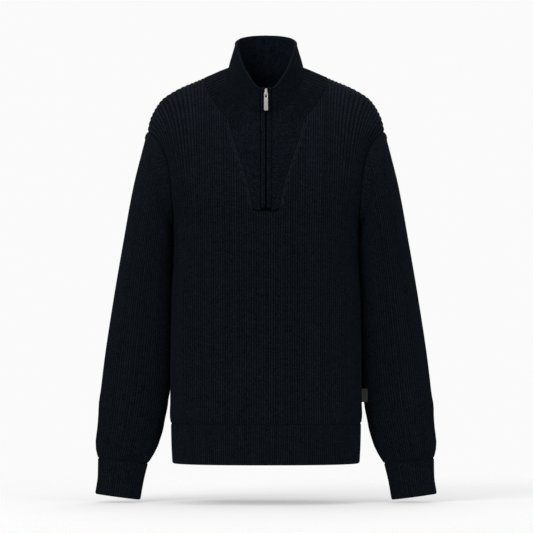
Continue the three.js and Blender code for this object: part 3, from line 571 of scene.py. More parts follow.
def share_of(x: float, z: float, side: int) -> float:
    """The share of a section's length at which x lies, read back from the shares of 400 points."""
    shares = np.linspace(0, 1, 401)
    return float(np.interp(x, round_x(shares, np.full(401, z), side), shares))


FOOT_SHARE = {side: share_of(float(ARMHOLE_X(FOOT_Z)), FOOT_Z, side) for side in (FRONT, BACK)}


def panel_points(place: np.ndarray, row: np.ndarray, side: int) -> np.ndarray:
    """Points of a body panel's face.

    Args:
        place: Rib places, from -1 at the wearer's right side seam to 1 at the left one.
        row: 0 to 1 from the hem band up to the chest line, and on to 2 at the ribs' ends.
        side: FRONT or BACK.

    Returns:
        The points. Up to the chest line a rib keeps its share of the way round. From there it runs
        straight to its end on the neck seam or the shoulder line, and bows as the armhole does.
    """
    place, row = np.broadcast_arrays(np.asarray(place, float), np.asarray(row, float))
    rib = np.abs(place)
    foot = rib > TIP_RIB
    chest_z = np.where(foot, FOOT_RIB_Z(rib), CHEST_Z(rib))
    lean = np.clip((chest_z - UNDERARM_Z) / (FOOT_Z - UNDERARM_Z), 0, 1)
    straight = round_x(rib, np.minimum(chest_z, UNDERARM_Z), side)
    across = round_x(np.minimum(rib / TIP_RIB, 1) * FOOT_SHARE[side], np.full(rib.shape, FOOT_Z), side)
    chest_x = np.where(foot, ARMHOLE_X(chest_z), mix(straight, across, lean))
    low_z = mix(BAND_TOP_Z, chest_z, np.minimum(row, 1))
    low_x = round_x(rib, np.minimum(low_z, UNDERARM_Z), side)
    rising = np.clip((low_z - UNDERARM_Z) / np.maximum(chest_z - UNDERARM_Z, 1e-6), 0, 1)
    low_x = mix(low_x, chest_x, rising)
    on_neck = rib <= NECK_RIB
    neck_x, neck_z = NECK_SEAM[side].at(NECK_SHARE[side](rib))
    end_z = np.where(on_neck, neck_z, SHOULDER_Z(rib))
    end_x = np.where(on_neck, neck_x, BODY["width"](end_z))
    up = np.clip(row - 1, 0, 1)
    bow = ARMHOLE_X(mix(FOOT_Z, TIP_Z, up)) - mix(ARMHOLE_X(FOOT_Z), ARMHOLE_X(TIP_Z), up)
    high_x = mix(chest_x, end_x, up) + bow * np.maximum(0, (rib - NECK_RIB) / (TIP_RIB - NECK_RIB))
    high_z = mix(chest_z, end_z, up)
    x, z = np.where(row <= 1, low_x, high_x), np.where(row <= 1, low_z, high_z)
    return on_body(np.sign(place) * np.minimum(x, BODY["width"](z)), z, side)


def armhole_line(side: int) -> np.ndarray:
    """The armhole seam at the wearer's left on one side, from the shoulder tip down to the underarm."""
    fall = 1 - (1 - np.linspace(0, 1, 400)) ** 2
    z = mix(TIP_Z, UNDERARM_Z, fall)
    return on_body(ARMHOLE_X(z), z, side)


def armhole_loop(turn: np.ndarray) -> np.ndarray:
    """The armhole seam at the wearer's left, by share of the way round.

    Args:
        turn: 0 at the shoulder tip, down the front to 0.5 under the arm, and up the back to 1.

    Returns:
        Points on the seam, spread evenly by length on each side.
    """
    turn = np.asarray(turn, float) % 1
    share = 1 - np.abs(1 - 2 * turn)
    made = []
    for side in (FRONT, BACK):
        line = armhole_line(side)
        run = lengths(line)
        made.append(np.stack([np.interp(share * run[-1], run, line[:, k]) for k in range(3)], axis=-1))
    return np.where((turn <= 0.5)[..., None], made[0], made[1])


FRONT_CREASES = (
    Crease((176, -196), (112, -246), 2.4, 9), Crease((172, -224), (104, -300), 1.8, 12),
    Crease((-176, -200), (-112, -252), 2.0, 10), Crease((-170, -228), (-96, -306), 1.6, 13),
    Crease((150, -330), (96, -420), 1.6, 15), Crease((-150, -340), (-92, -436), 1.8, 15),
    Crease((62, -60), (66, -150), 1.1, 10), Crease((-64, -62), (-70, -160), 1.1, 10),
    Crease((38, -400), (54, -600), 1.5, 20), Crease((-30, -420), (-52, -606), 1.4, 20),
    Crease((118, -470), (106, -610), 1.9, 16), Crease((-120, -480), (-110, -612), 1.7, 16),
    Crease((-4, -300), (-10, -430), 1.0, 18),
)
BACK_CREASES = (
    Crease((170, -190), (96, -250), 2.4, 11, BACK), Crease((-168, -196), (-100, -262), 2.2, 11, BACK),
    Crease((60, -60), (40, -180), 1.6, 15, BACK), Crease((-58, -64), (-44, -190), 1.5, 15, BACK),
    Crease((130, -360), (70, -470), 2.2, 18, BACK), Crease((-126, -372), (-60, -490), 2.0, 18, BACK),
    Crease((90, -500), (104, -612), 1.8, 17, BACK), Crease((-86, -500), (-100, -612), 1.7, 17, BACK),
)


# Finishes

class Shader:
    """A small helper that builds a material's nodes."""

    def __init__(self, name: str) -> None:
        """Starts an empty material.

        Args:
            name: The material's name.
        """
        self.material = bpy.data.materials.new(name)
        self.material.use_nodes = True
        self.tree = self.material.node_tree
        self.tree.nodes.clear()

    def add(self, kind: str, values: dict[str | int, object] | None = None,
            **settings: object) -> bpy.types.Node:
        """Adds a node.

        Args:
            kind: The type of the node.
            values: What its inputs are set or linked to.
            settings: The node's own settings.

        Returns:
            The node.
        """
        node = self.tree.nodes.new(kind)
        for key, value in settings.items():
            setattr(node, key, value)
        for key, value in (values or {}).items():
            if isinstance(value, bpy.types.NodeSocket):
                self.tree.links.new(value, node.inputs[key])
            else:
                node.inputs[key].default_value = value
        return node

    def maths(self, operation: str, a: object, b: object = 0.0, c: object = 0.5) -> bpy.types.NodeSocket:
        """The result of a Math node."""
        return self.add("ShaderNodeMath", {0: a, 1: b, 2: c}, operation=operation).outputs[0]

    def shades(self, dye: Sequence[float], share: object, low: float, high: float) -> bpy.types.NodeSocket:
        """A dye between low and high times its depth, the given share of the way."""
        return self.blend(share, [c * low for c in dye] + [1], [c * high for c in dye] + [1])

    def ramp(self, value: object, low: float, high: float) -> bpy.types.NodeSocket:
        """A soft step from 0 at low to 1 at high."""
        return self.add("ShaderNodeMapRange", {"Value": value, "From Min": low, "From Max": high},
                        interpolation_type="SMOOTHSTEP").outputs[0]

    def blend(self, share: object, a: object, b: object) -> bpy.types.NodeSocket:
        """A colour the given share of the way from a to b."""
        node = self.add("ShaderNodeMix", {0: share, 6: a, 7: b}, data_type="RGBA")
        return node.outputs[2]

    def noise(self, where: object, scale: float, detail: float = 2.0,
              rough: float = 0.5) -> bpy.types.NodeSocket:
        """A Noise Texture's value."""
        values = {"Vector": where, "Scale": scale, "Detail": detail, "Roughness": rough}
        return self.add("ShaderNodeTexNoise", values).outputs["Fac"]

    def finish(self, shader: bpy.types.NodeSocket) -> bpy.types.Material:
        """Sets the material's surface and gives the material."""
        self.add("ShaderNodeOutputMaterial", {"Surface": shader})
        return self.material


class ClothSide(Enum):
    """Which side of the cloth a finish is for: the ribbed outside, or the plain inside."""

    OUTER = "outer"
    PLAIN = "plain"


@dataclass(frozen=True)
class RibKnit:
    """Half cardigan rib in dyed wool: V stitches up each rib, deep valleys with painted shade in them,
    mottled dye and a light fuzz.
    """

    name: str
    dye: tuple[float, float, float] = (0.0041, 0.0060, 0.0091)
    course: float = 3.1  # millimetres from stitch to stitch
    depth: float = 0.6
    side: ClothSide = ClothSide.OUTER
    fuzz: float = 0.006
    shine: float = 0.03
    # how strongly the valleys are painted darker: painted shade
    valley_shade: float = 1.0
    speckle: float = 3.8  # how much lighter and darker hairs mottle it
    lean: float = 0.62  # how far the sides of a V trail its point, in stitches
    leg: float = 0.42  # where the legs of the V lie, from the rib's middle to its side
    yoke: bool = False  # whether the valleys take more painted shade on the yoke than elsewhere

    def yoke_valley_shade(self, s: Shader, where: bpy.types.NodeSocket) -> bpy.types.NodeSocket:
        """How much painted shade the valleys take: 1.2 on the yoke, which is far out and high up, and 0.45
        elsewhere.
        """
        split = s.add("ShaderNodeSeparateXYZ", {0: where})
        far = s.ramp(s.maths("ABSOLUTE", split.outputs[0]), 0.03, 0.052)
        high = s.ramp(split.outputs[2], -0.115, -0.085)
        return s.maths("ADD", 0.45, s.maths("MULTIPLY", s.maths("MULTIPLY", far, high), 0.75))

    def make(self) -> bpy.types.Material:
        """Builds the material on the thread coordinates: the rib's number across and millimetres along.

        A stitch is a cosine wave along the rib, held back at the rib's sides so that it makes a V, and
        strongest on the legs of the V. The tone is lighter on the stitches' loops and darker between them,
        and darker down in the valleys on the outside: painted shade. On the plain inside the middle of each
        rib is painted lighter, which makes the inside lighter than the face: painted light. The tone is
        then made lighter and darker by clouds, by single hairs and from rib to rib.
        """
        s = Shader(self.name)
        threads = s.add("ShaderNodeUVMap", uv_map="threads").outputs[0]
        where = s.add("ShaderNodeTexCoord").outputs["Object"]
        split = s.add("ShaderNodeSeparateXYZ", {0: threads})
        across = s.maths("FRACT", split.outputs[0])
        away = s.maths("MULTIPLY", s.maths("ABSOLUTE", s.maths("SUBTRACT", across, 0.5)), 2.0)
        wobble = s.maths("MULTIPLY", s.noise(where, 130.0, 2.0), 0.55)
        phase = s.maths("ADD", s.maths("MULTIPLY", split.outputs[1], 1.0 / self.course), wobble)
        phase = s.maths("SUBTRACT", phase, s.maths("MULTIPLY", away, self.lean))
        wave = s.maths("COSINE", s.maths("MULTIPLY", phase, 2 * math.pi))
        loop = s.maths("MULTIPLY_ADD", wave, 0.5)
        off_leg = s.maths("ABSOLUTE", s.maths("SUBTRACT", away, self.leg))
        leg = s.maths("SUBTRACT", 1.0, s.maths("POWER", off_leg, 2.0))
        stitch = s.maths("MULTIPLY", loop, leg)
        if self.side is ClothSide.PLAIN:
            # Painted light: on the plain inside the middle of each rib rises in the bump and is painted
            # lighter than its sides, which makes the inside lighter than the face.
            crown = s.maths("SUBTRACT", 1.0, s.maths("POWER", away, 2.0))
            stitch = s.maths("ADD", stitch, s.maths("MULTIPLY", crown, 2.2))
        hairs = s.noise(where, 1500.0, 3.0, 0.65)
        height = s.maths("ADD", stitch, s.maths("MULTIPLY", hairs, 0.5))
        bump = s.add("ShaderNodeBump", {"Height": height, "Strength": self.depth, "Distance": 0.0007})
        # Painted shade: the tone is lighter on the raised loops of the stitches and darker between them.
        tone = s.shades(self.dye, s.maths("MULTIPLY", stitch, 0.8), 0.85, 1.75)
        # Painted shade: on the outside the valleys are painted darker, towards 0.12 of the dye.
        if self.side is ClothSide.OUTER:
            share = s.maths("MULTIPLY", s.maths("POWER", away, 1.6), 0.85 * self.valley_shade)
            if self.yoke:
                share = s.maths("MULTIPLY", share, self.yoke_valley_shade(s, where))
            tone = s.blend(share, tone, [c * 0.12 for c in self.dye] + [1])
        rib_number = s.maths("FLOOR", split.outputs[0])
        streak = s.add("ShaderNodeTexWhiteNoise", {"W": rib_number}, noise_dimensions="1D").outputs[0]
        wide = s.add("ShaderNodeMapping", {"Vector": where, "Scale": (0.35, 0.35, 1.0)}).outputs[0]
        clouds = s.maths("SUBTRACT", s.noise(wide, 150.0, 4.0, 0.65), 0.5)
        grain = s.maths("SUBTRACT", s.noise(where, 430.0, 2.0, 0.75), 0.5)
        shade = s.maths("ADD", s.maths("MULTIPLY", clouds, 0.9), s.maths("MULTIPLY", grain, self.speckle))
        shade = s.maths("ADD", shade, s.maths("MULTIPLY", s.maths("SUBTRACT", streak, 0.5), 0.25))
        shade = s.maths("MAXIMUM", s.maths("ADD", shade, 1.0), 0.15)
        tone = s.add("ShaderNodeVectorMath", {0: tone, "Scale": shade}, operation="SCALE").outputs[0]
        surface = s.add("ShaderNodeBsdfPrincipled", {
            "Base Color": tone, "Normal": bump.outputs[0], "Roughness": 0.88,
            "Specular IOR Level": self.shine, "Sheen Weight": self.fuzz, "Sheen Roughness": 0.6,
            "Sheen Tint": (0.55, 0.72, 1.0, 1.0),
        })
        return s.finish(surface.outputs[0])


@dataclass(frozen=True)
class Yarn:
    """The linking thread of the seams, in the dye of the cloth."""

    name: str
    dye: tuple[float, float, float] = (0.0042, 0.0059, 0.0084)

    def make(self) -> bpy.types.Material:
        """Builds the material: loops along the seam from the thread coordinates."""
        s = Shader(self.name)
        split = s.add("ShaderNodeSeparateXYZ", {0: s.add("ShaderNodeUVMap", uv_map="threads").outputs[0]})
        where = s.add("ShaderNodeTexCoord").outputs["Object"]
        turn = s.maths("MULTIPLY", split.outputs[0], 6.28)
        slant = s.maths("ADD", s.maths("MULTIPLY", split.outputs[1], 2.1), turn)
        height = s.maths("ADD", s.maths("SINE", slant), s.noise(where, 1400.0, 2.0))
        bump = s.add("ShaderNodeBump", {"Height": height, "Strength": 0.5, "Distance": 0.0004})
        tone = s.shades(self.dye, s.noise(where, 300.0), 0.6, 1.3)
        surface = s.add("ShaderNodeBsdfPrincipled", {
            "Base Color": tone, "Roughness": 0.9, "Specular IOR Level": 0.03, "Normal": bump.outputs[0]})
        return s.finish(surface.outputs[0])


@dataclass(frozen=True)
class Woven:
    """A narrow woven band, as of the zip's tapes and the label: fine crossing threads."""

    name: str
    dye: tuple[float, float, float]
    pitch: float  # threads to a metre
    rough: float = 0.7
    shine: float = 0.2

    def make(self) -> bpy.types.Material:
        """Builds the material: the product of two thread waves on Object coordinates."""
        s = Shader(self.name)
        where = s.add("ShaderNodeTexCoord").outputs["Object"]
        split = s.add("ShaderNodeSeparateXYZ", {0: where})
        warp = s.maths("SINE", s.maths("MULTIPLY", split.outputs[0], self.pitch * 6.283))
        weft = s.maths("SINE", s.maths("MULTIPLY", split.outputs[2], self.pitch * 6.283))
        weave = s.maths("MULTIPLY_ADD", s.maths("MULTIPLY", warp, weft), 0.5)
        height = s.maths("ADD", weave, s.maths("MULTIPLY", s.noise(where, 2600.0), 0.4))
        bump = s.add("ShaderNodeBump", {"Height": height, "Strength": 0.45, "Distance": 0.0002})
        tone = s.shades(self.dye, weave, 0.7, 1.2)
        worn = s.maths("MULTIPLY", s.noise(where, 60.0), 0.3)
        tone = s.blend(worn, tone, [c * 0.5 for c in self.dye] + [1])
        surface = s.add("ShaderNodeBsdfPrincipled", {
            "Base Color": tone, "Normal": bump.outputs[0], "Roughness": self.rough,
            "Specular IOR Level": self.shine})
        return s.finish(surface.outputs[0])


@dataclass(frozen=True)
class Nickel:
    """Plated metal with fine brushing, and warmer where the plating is thin."""

    name: str
    plate: tuple[float, float, float] = (0.62, 0.6, 0.59)
    warm: tuple[float, float, float] = (0.42, 0.3, 0.24)
    worn: float = 0.18
    rough: float = 0.3

    def make(self) -> bpy.types.Material:
        """Builds the material: brushing along the piece, and soft patches of the warmer tone."""
        s = Shader(self.name)
        where = s.add("ShaderNodeTexCoord").outputs["Object"]
        stretched = s.add("ShaderNodeMapping", {"Vector": where, "Scale": (9.0, 9.0, 0.6)})
        brush = s.noise(stretched.outputs[0], 700.0, 3.0)
        patch = s.noise(where, 240.0, 3.0)
        tone = s.blend(s.maths("MULTIPLY", patch, self.worn), [*self.plate, 1], [*self.warm, 1])
        rough = s.maths("ADD", self.rough - 0.06, s.maths("MULTIPLY", brush, 0.16))
        bump = s.add("ShaderNodeBump", {"Height": brush, "Strength": 0.12, "Distance": 0.0001})
        surface = s.add("ShaderNodeBsdfPrincipled", {
            "Base Color": tone, "Metallic": 1.0, "Roughness": rough, "Normal": bump.outputs[0]})
        return s.finish(surface.outputs[0])


@dataclass(frozen=True)
class Coil:
    """Dyed plastic of the zip's teeth, with a soft gloss."""

    name: str
    dye: tuple[float, float, float] = (0.0012, 0.0014, 0.0017)

    def make(self) -> bpy.types.Material:
        """Builds the material: a little unevenness in gloss and tone."""
        s = Shader(self.name)
        where = s.add("ShaderNodeTexCoord").outputs["Object"]
        uneven = s.noise(where, 800.0, 2.0)
        tone = s.shades(self.dye, uneven, 0.8, 1.4)
        surface = s.add("ShaderNodeBsdfPrincipled", {
            "Base Color": tone, "Roughness": s.maths("ADD", 0.38, s.maths("MULTIPLY", uneven, 0.15)),
            "Specular IOR Level": 0.07})
        return s.finish(surface.outputs[0])


@dataclass(frozen=True)
class PaleFloor:
    """The studio floor, which fades away towards its edge."""

    name: str
    tone: float = 0.755
    near: float = 0.55  # metres from the middle to where it starts to turn clear
    far: float = 1.25  # metres from the middle to where it is clear
    glow: float = 0.956
    even: float = 0.38  # the share of its brightness that is the same all over

    def make(self) -> bpy.types.Material:
        """Builds the material: a matt white that turns clear from the near to the far radius."""
        s = Shader(self.name)
        where = s.add("ShaderNodeTexCoord").outputs["Object"]
        flat = s.add("ShaderNodeVectorMath", {0: where, 1: (1.0, 1.0, 0.0)}, operation="MULTIPLY").outputs[0]
        radius = s.add("ShaderNodeVectorMath", {0: flat}, operation="LENGTH").outputs["Value"]
        fade = s.ramp(radius, self.near, self.far)
        grain = s.maths("MULTIPLY", s.noise(where, 40.0, 3.0), 0.02)
        tone = s.blend(grain, [self.tone, self.tone, self.tone, 1], [0.8, 0.8, 0.8, 1])
        dull = s.add("ShaderNodeBsdfDiffuse", {"Color": tone})
        glow = s.add("ShaderNodeEmission", {"Color": (self.glow, self.glow, self.glow, 1.0), "Strength": 1.0})
        matt = s.add("ShaderNodeMixShader", {0: self.even, 1: dull.outputs[0], 2: glow.outputs[0]})
        clear = s.add("ShaderNodeBsdfTransparent")
        both = s.add("ShaderNodeMixShader", {0: fade, 1: matt.outputs[0], 2: clear.outputs[0]})
        return s.finish(both.outputs[0])


# Cloth pieces

EDGE_STEPS = (0.45, 1.1, 2.1, 3.6)  # millimetres from a rounded edge to its close rows


def edge_rows(count: int, length: float, low: bool = True, high: bool = True) -> np.ndarray:
    """Shares of a length, even in the middle and closer together at its ends.

    Args:
        count: How many even steps.
        length: The length in millimetres.
        low: Whether the start is an edge.
        high: Whether the end is an edge.

    Returns:
        The shares from 0 to 1.
    """
    close = np.array(EDGE_STEPS) / length
    made = [np.linspace(0, 1, count + 1)]
    made += [close] if low else []
    made += [1 - close] if high else []
    shares = np.unique(np.concatenate(made).round(7))
    keep = np.concatenate([[True], np.diff(shares) > 0.3 / length])
    keep[-1] = True
    return shares[keep]


@dataclass
class Cut:
    """A cloth piece's cut before it is sewn: width, length and area in metres and square metres."""

    width: float
    length: float
    area: float

    def declare(self, piece: bpy.types.Object, rests_on: Sequence[str], held: str = "hung") -> None:
        """Does nothing with the piece."""


def dress(piece: bpy.types.Object, slot: str, *nodes: str, body: str = "garment") -> bpy.types.Object:
    """Puts a piece on its body, and hides the nodes that it replaces."""
    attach(piece, body)
    if nodes:
        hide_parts(*nodes)
    return piece


@dataclass
class BodyPanel:
    """The front or the back panel, in rib, with every rib ending at a seam as knitted."""

    side: int
    cut: Cut
    creases: tuple[Crease, ...]
    stitch: RibStitch = field(default_factory=lambda: RibStitch(1.25))
    thick: float = 2.4
    ribs_to: tuple[int, int, int] = (26, 43, 56)  # to the neck's end, the shoulder tip, the side seam
    puff: tuple[float, float, float] = (1.6, -607.0, 12.0)  # over the hem band: its rise, height and width

    def places(self) -> np.ndarray:
        """Rib places across the panel, a whole number of points to each rib."""
        count = np.arange(self.ribs_to[2] * self.stitch.points + 1) / self.stitch.points
        half = np.interp(count, (0, *self.ribs_to), (0, NECK_RIB, TIP_RIB, 1))
        return np.concatenate([-half[:0:-1], half])

    def build(self, outside: bpy.types.Material, inside: bpy.types.Material) -> bpy.types.Object:
        """Builds the panel in two grids that share the chest line.

        Args:
            outside: The finish of the face.
            inside: The finish of the back of the cloth.

        Returns:
            The panel's object.
        """
        places, across = self.places(), self.stitch.points
        low_rows = edge_rows(30, 330.0, high=False)
        high_rows = 1 + edge_rows(34, 240.0, low=False)
        inner = np.abs(places) <= TIP_RIB + ROUND_OFF
        low = panel_points(places[None], low_rows[:, None], self.side)
        high = panel_points(places[inner][None], high_rows[:, None], self.side)
        wall = KnitWall()
        from_hem, to_chest = runs(low, 0)
        to_foot = np.where(inner[None], np.inf, to_chest)
        low_edge = np.minimum.reduce([from_hem, to_foot, *runs(low, 1)])
        from_chest, to_top = runs(high, 0)
        high_edge = np.minimum.reduce([to_top, *runs(high, 1)])
        course = from_chest + from_hem[-1][inner][None]
        rise, height, wide = self.puff
        puff = rise * np.exp(-(((low[..., 2] - height) / wide) ** 2))
        one = knitted(wall, low, self.stitch, self.thick, from_hem, low_edge, handed=-self.side,
                      creases=self.creases, extra=puff)
        two = knitted(wall, high, self.stitch, self.thick, course, high_edge, handed=-self.side,
                      creases=self.creases, first_rib=int(np.argmax(inner)) // across)
        two["outer"][0] = one["outer"][-1][inner]
        two["inner"][0] = one["inner"][-1][inner[::across]]
        flip = self.side == BACK
        close_rows(wall, one, flip, last=False)
        close_sides(wall, one, flip)
        close_rows(wall, two, flip, first=False)
        close_sides(wall, two, flip)
        outer, inner, at = (one[key][-1] for key in ("outer", "inner", "at"))
        for beyond in (places <= -TIP_RIB + ROUND_OFF, places >= TIP_RIB - ROUND_OFF):
            wall.rim(outer[beyond], inner[beyond[::across]], at[beyond], not flip)
        word = "front" if self.side == FRONT else "back"
        piece = dress(wall.piece(f"{word}_rib_panel", (outside, inside)), "rib_knit", f"{word}_panel")
        self.cut.declare(piece, ("collar_and_insert",))
        return piece


@dataclass
class HemBand:
    """The band round the foot, in a finer rib."""

    cut: Cut
    quarter_ribs: int = 62
    stitch: RibStitch = field(default_factory=lambda: RibStitch(1.15))
    thick: float = 2.4
    swell: float = 0.55
    seam_gap: float = 0.3

    def build(self, outside: bpy.types.Material, inside: bpy.types.Material) -> bpy.types.Object:
        """Builds the band on the body's sections, from the middle of the front by the wearer's left."""
        quarter_points = self.quarter_ribs * self.stitch.points
        turn = np.arange(4 * quarter_points + 1) / quarter_points
        quarter = np.minimum(np.floor(turn), 3)
        share = turn - quarter
        tall = BAND_TOP_Z - HEM_Z
        z = mix(HEM_Z, BAND_TOP_Z - self.seam_gap, edge_rows(12, tall))[:, None]
        at = np.where(quarter % 2 == 0, share, 1 - share)
        hand = np.where(quarter < 2, 1, -1)
        made = [on_body(round_x(at[None], z, side) * hand, z, side) for side in (FRONT, BACK)]
        base = np.where(((quarter == 0) | (quarter == 3))[None, :, None], made[0], made[1])
        first, last = runs(base, 0)
        wall = KnitWall()
        swell = self.swell * np.sin(np.pi * np.clip((base[..., 2] - HEM_Z) / tall, 0, 1))
        grid = knitted(wall, base, self.stitch, self.thick, first, np.minimum(first, last), round_it=True,
                       extra=swell)
        close_rows(wall, grid, False)
        piece = dress(wall.piece("hem_rib_band", (outside, inside)), "rib_knit", "hem_band")
        self.cut.declare(piece, ("front_rib_panel", "back_rib_panel"), "stretched")
        return piece


SLEEVE = tracks("outer_x outer_z inner_x inner_z depth mid_y", [
    (0, 211.2, -126, 163.2, -294.5, 61, 0), (0.06, 219.3, -157.5, 161.2, -306, 61.5, 0.4),
    (0.15, 231, -205, 162.0, -328, 62, 1),
    (0.36, 249, -303, 163.0, -388, 57, 3), (0.56, 267, -408, 164.4, -464, 47, 6),
    (0.77, 284.5, -526, 168.0, -559, 36, 9.5), (0.935, 295, -628, 183, -637, 31, 11),
    (0.98, 297.6, -664, 195, -672, 29, 11), (1, 294, -682.4, 207, -691.8, 22, 11),
])
CUFF = tracks("outer_x outer_z inner_x inner_z depth mid_y", [
    (0, 293.9, -682.8, 207.2, -692.2, 21.8, 11), (0.45, 294.4, -712, 214.5, -722, 18.5, 11),
    (1, 299, -745.5, 220.5, -756, 18, 10.5),
])


def loop_points(table: dict[str, Track], turn: np.ndarray, down: np.ndarray) -> np.ndarray:
    """Points of a sleeve or cuff.

    Args:
        table: The curves of its sections.
        turn: Shares of the way round, from the outer point by the front.
        down: Places from the top section, 0, to the last, 1.

    Returns:
        The points. A section is an ellipse between an outer and an inner point seen from the front,
        x and z = mix(outer, inner, (1 - cos a) / 2), with y = middle - depth x sin a.
    """
    turn, down = np.broadcast_arrays(turn, down)
    angle = 2 * np.pi * turn
    across = (1 - np.cos(angle)) / 2
    t = {key: track(down) for key, track in table.items()}
    return np.stack([mix(t["outer_x"], t["inner_x"], across), t["mid_y"] - t["depth"] * np.sin(angle),
                     mix(t["outer_z"], t["inner_z"], across)], axis=-1)


@dataclass(frozen=True)
class Fold:
    """A soft fold across a sleeve: the places and shares round where it lies, and its height."""

    down: float
    turn: float
    slope: float  # how far down it runs for each whole turn
    deep: float
    long: float  # its width down the sleeve
    round: float  # how much of the way round it reaches

    def lift(self, turn: np.ndarray, down: np.ndarray) -> np.ndarray:
        """The rise of each point: a bell curve down the sleeve and one round it."""
        away = (turn - self.turn + 0.5) % 1 - 0.5
        return (self.deep * np.exp(-(((down - self.down - self.slope * away) / self.long) ** 2))
                * np.exp(-((away / self.round) ** 2)))


LEFT_FOLDS = (
    Fold(0.1, 0.36, 0.35, 1.8, 0.028, 0.14), Fold(0.42, 0.3, 0.5, 1.5, 0.03, 0.16),
    Fold(0.55, 0.34, -0.3, 1.3, 0.026, 0.14), Fold(0.9, 0.2, 0.1, 1.7, 0.022, 0.3),
    Fold(0.9, 0.75, -0.1, 1.5, 0.022, 0.26), Fold(0.82, 0.45, 0.2, -1.1, 0.02, 0.2),
    Fold(0.965, 0.25, 0.0, 1.2, 0.014, 0.5),
)
RIGHT_FOLDS = (
    Fold(0.12, 0.34, 0.3, 2.0, 0.03, 0.15), Fold(0.45, 0.31, 0.45, 1.4, 0.028, 0.16),
    Fold(0.6, 0.36, -0.25, 1.2, 0.026, 0.13), Fold(0.89, 0.22, 0.12, 1.6, 0.022, 0.3),
    Fold(0.91, 0.72, -0.1, 1.6, 0.022, 0.26), Fold(0.8, 0.42, 0.2, -1.2, 0.02, 0.2),
    Fold(0.965, 0.25, 0.0, 1.2, 0.014, 0.5),
)


@dataclass
class Sleeve:
    """A sleeve from its armhole seam to its cuff, and the cuff."""

    hand: int
    cut: Cut
    cuff_cut: Cut
    folds: tuple[Fold, ...]
    ribs: int = 82
    cuff_ribs: int = 60
    stitch: RibStitch = field(default_factory=lambda: RibStitch(1.0))
    cuff_stitch: RibStitch = field(default_factory=lambda: RibStitch(0.95))
    thick: float = 2.4
    cap_rows: tuple[float, ...] = (0, 0.03, 0.08, 0.16, 0.27, 0.4, 0.55, 0.7, 0.85)
    cap_rise: float = 2.2
    underarm_rise: float = 4.0
    seam_gap: float = 0.3

    def word(self) -> str:
        """The wearer's side in words."""
        return "left" if self.hand > 0 else "right"

    def cap(self, turn: np.ndarray, share: np.ndarray) -> np.ndarray:
        """The cloth from the armhole seam to the first section.

        Args:
            turn: Shares of the way round.
            share: 0 at the seam to 1 at the section.

        Returns:
            Points on a quadratic curve whose middle stands out by cap_rise, and up by
            underarm_rise under the arm.
        """
        seam = armhole_loop(turn)
        out = body_facing(seam)
        along = armhole_loop(turn + 0.004) - armhole_loop(turn - 0.004)
        under = np.sin(np.pi * turn)[..., None] ** 10
        seam = seam + unit(np.cross(out, along)) * self.seam_gap
        first = loop_points(SLEEVE, turn, np.zeros(turn.shape))
        lift = out * self.cap_rise * (1 - under) + np.array([0, 0, self.underarm_rise]) * under
        middle = (seam + first) / 2 + lift
        bend = 2 * middle - (seam + first) / 2
        t = share[..., None]
        return (1 - t) ** 2 * seam + 2 * t * (1 - t) * bend + t**2 * first

    def cap_ribs(self, turn: np.ndarray, cap: np.ndarray) -> np.ndarray:
        """Rib numbers over the cap, so that its ribs run on up the line of the sleeve.

        Args:
            turn: Shares of the way round.
            cap: The cap's points.

        Returns:
            The share of the way round of the section's point that lies on the same line down the
            sleeve, times the number of ribs. The lines lean 0.18 across for each 1 down.
        """
        outer_x, outer_z, wide = 211.2, -126, 73.33
        across = np.clip((outer_x - np.abs(cap[..., 0]) - 0.18 * (cap[..., 2] - outer_z)) / wide, 0, 1)
        along = np.arccos(1 - 2 * across) / (2 * np.pi)
        return np.where(turn <= 0.5, along, 1 - along) * self.ribs

    def build(self, outside: bpy.types.Material, inside: bpy.types.Material) -> bpy.types.Object:
        """Builds the sleeve: the cap's rows, then the sections' rows.

        Args:
            outside: The finish of the face.
            inside: The finish of the back of the cloth.

        Returns:
            The sleeve's object.
        """
        turn = np.arange(self.ribs * self.stitch.points + 1) / (self.ribs * self.stitch.points)
        caps = len(self.cap_rows)
        down = edge_rows(62, 560.0, low=False)
        cap = self.cap(*np.broadcast_arrays(turn[None], np.array(self.cap_rows)[:, None]))
        rest = loop_points(SLEEVE, turn[None], down[:, None])
        base = np.concatenate([cap, rest])
        base[:, -1] = base[:, 0]
        base[..., 0] *= self.hand
        first, last = runs(base, 0)
        places = np.concatenate([np.zeros(caps), down])[:, None]
        rise = sum((fold.lift(turn[None], places) for fold in self.folds), np.zeros(base.shape[:-1]))
        wall = KnitWall()
        full = np.ones(len(down) - 5)
        relief = np.concatenate([np.linspace(0.1, 0.6, caps), np.linspace(0.7, 1, 5), full])[:, None]
        grid = knitted(wall, base, self.stitch, self.thick, first, np.minimum(first, last),
                       handed=self.hand, round_it=True, extra=rise, relief=relief)
        grid["at"][:caps, :, 0] = self.cap_ribs(turn[None], cap)
        close_rows(wall, grid, self.hand < 0)
        word = self.word()
        piece = dress(wall.piece(f"{word}_sleeve_rib", (outside, inside)), "rib_knit", f"sleeve_{word}")
        self.cut.declare(piece, ("front_rib_panel", "back_rib_panel"))
        return piece

    def build_cuff(self, outside: bpy.types.Material, inside: bpy.types.Material) -> bpy.types.Object:
        """Builds the cuff in its finer rib."""
        points = self.cuff_ribs * self.cuff_stitch.points
        turn = np.arange(points + 1) / points
        base = loop_points(CUFF, turn[None], edge_rows(14, 66.0)[:, None])
        base[:, -1] = base[:, 0]
        base[..., 0] *= self.hand
        first, last = runs(base, 0)
        wall = KnitWall()
        grid = knitted(wall, base, self.cuff_stitch, self.thick, first, np.minimum(first, last),
                       handed=self.hand, round_it=True)
        close_rows(wall, grid, self.hand < 0)
        word = self.word()
        piece = dress(wall.piece(f"{word}_cuff_rib", (outside, inside)), "rib_knit", f"cuff_{word}")
        self.cuff_cut.declare(piece, (f"{word}_sleeve_rib",), "stretched")
        return piece


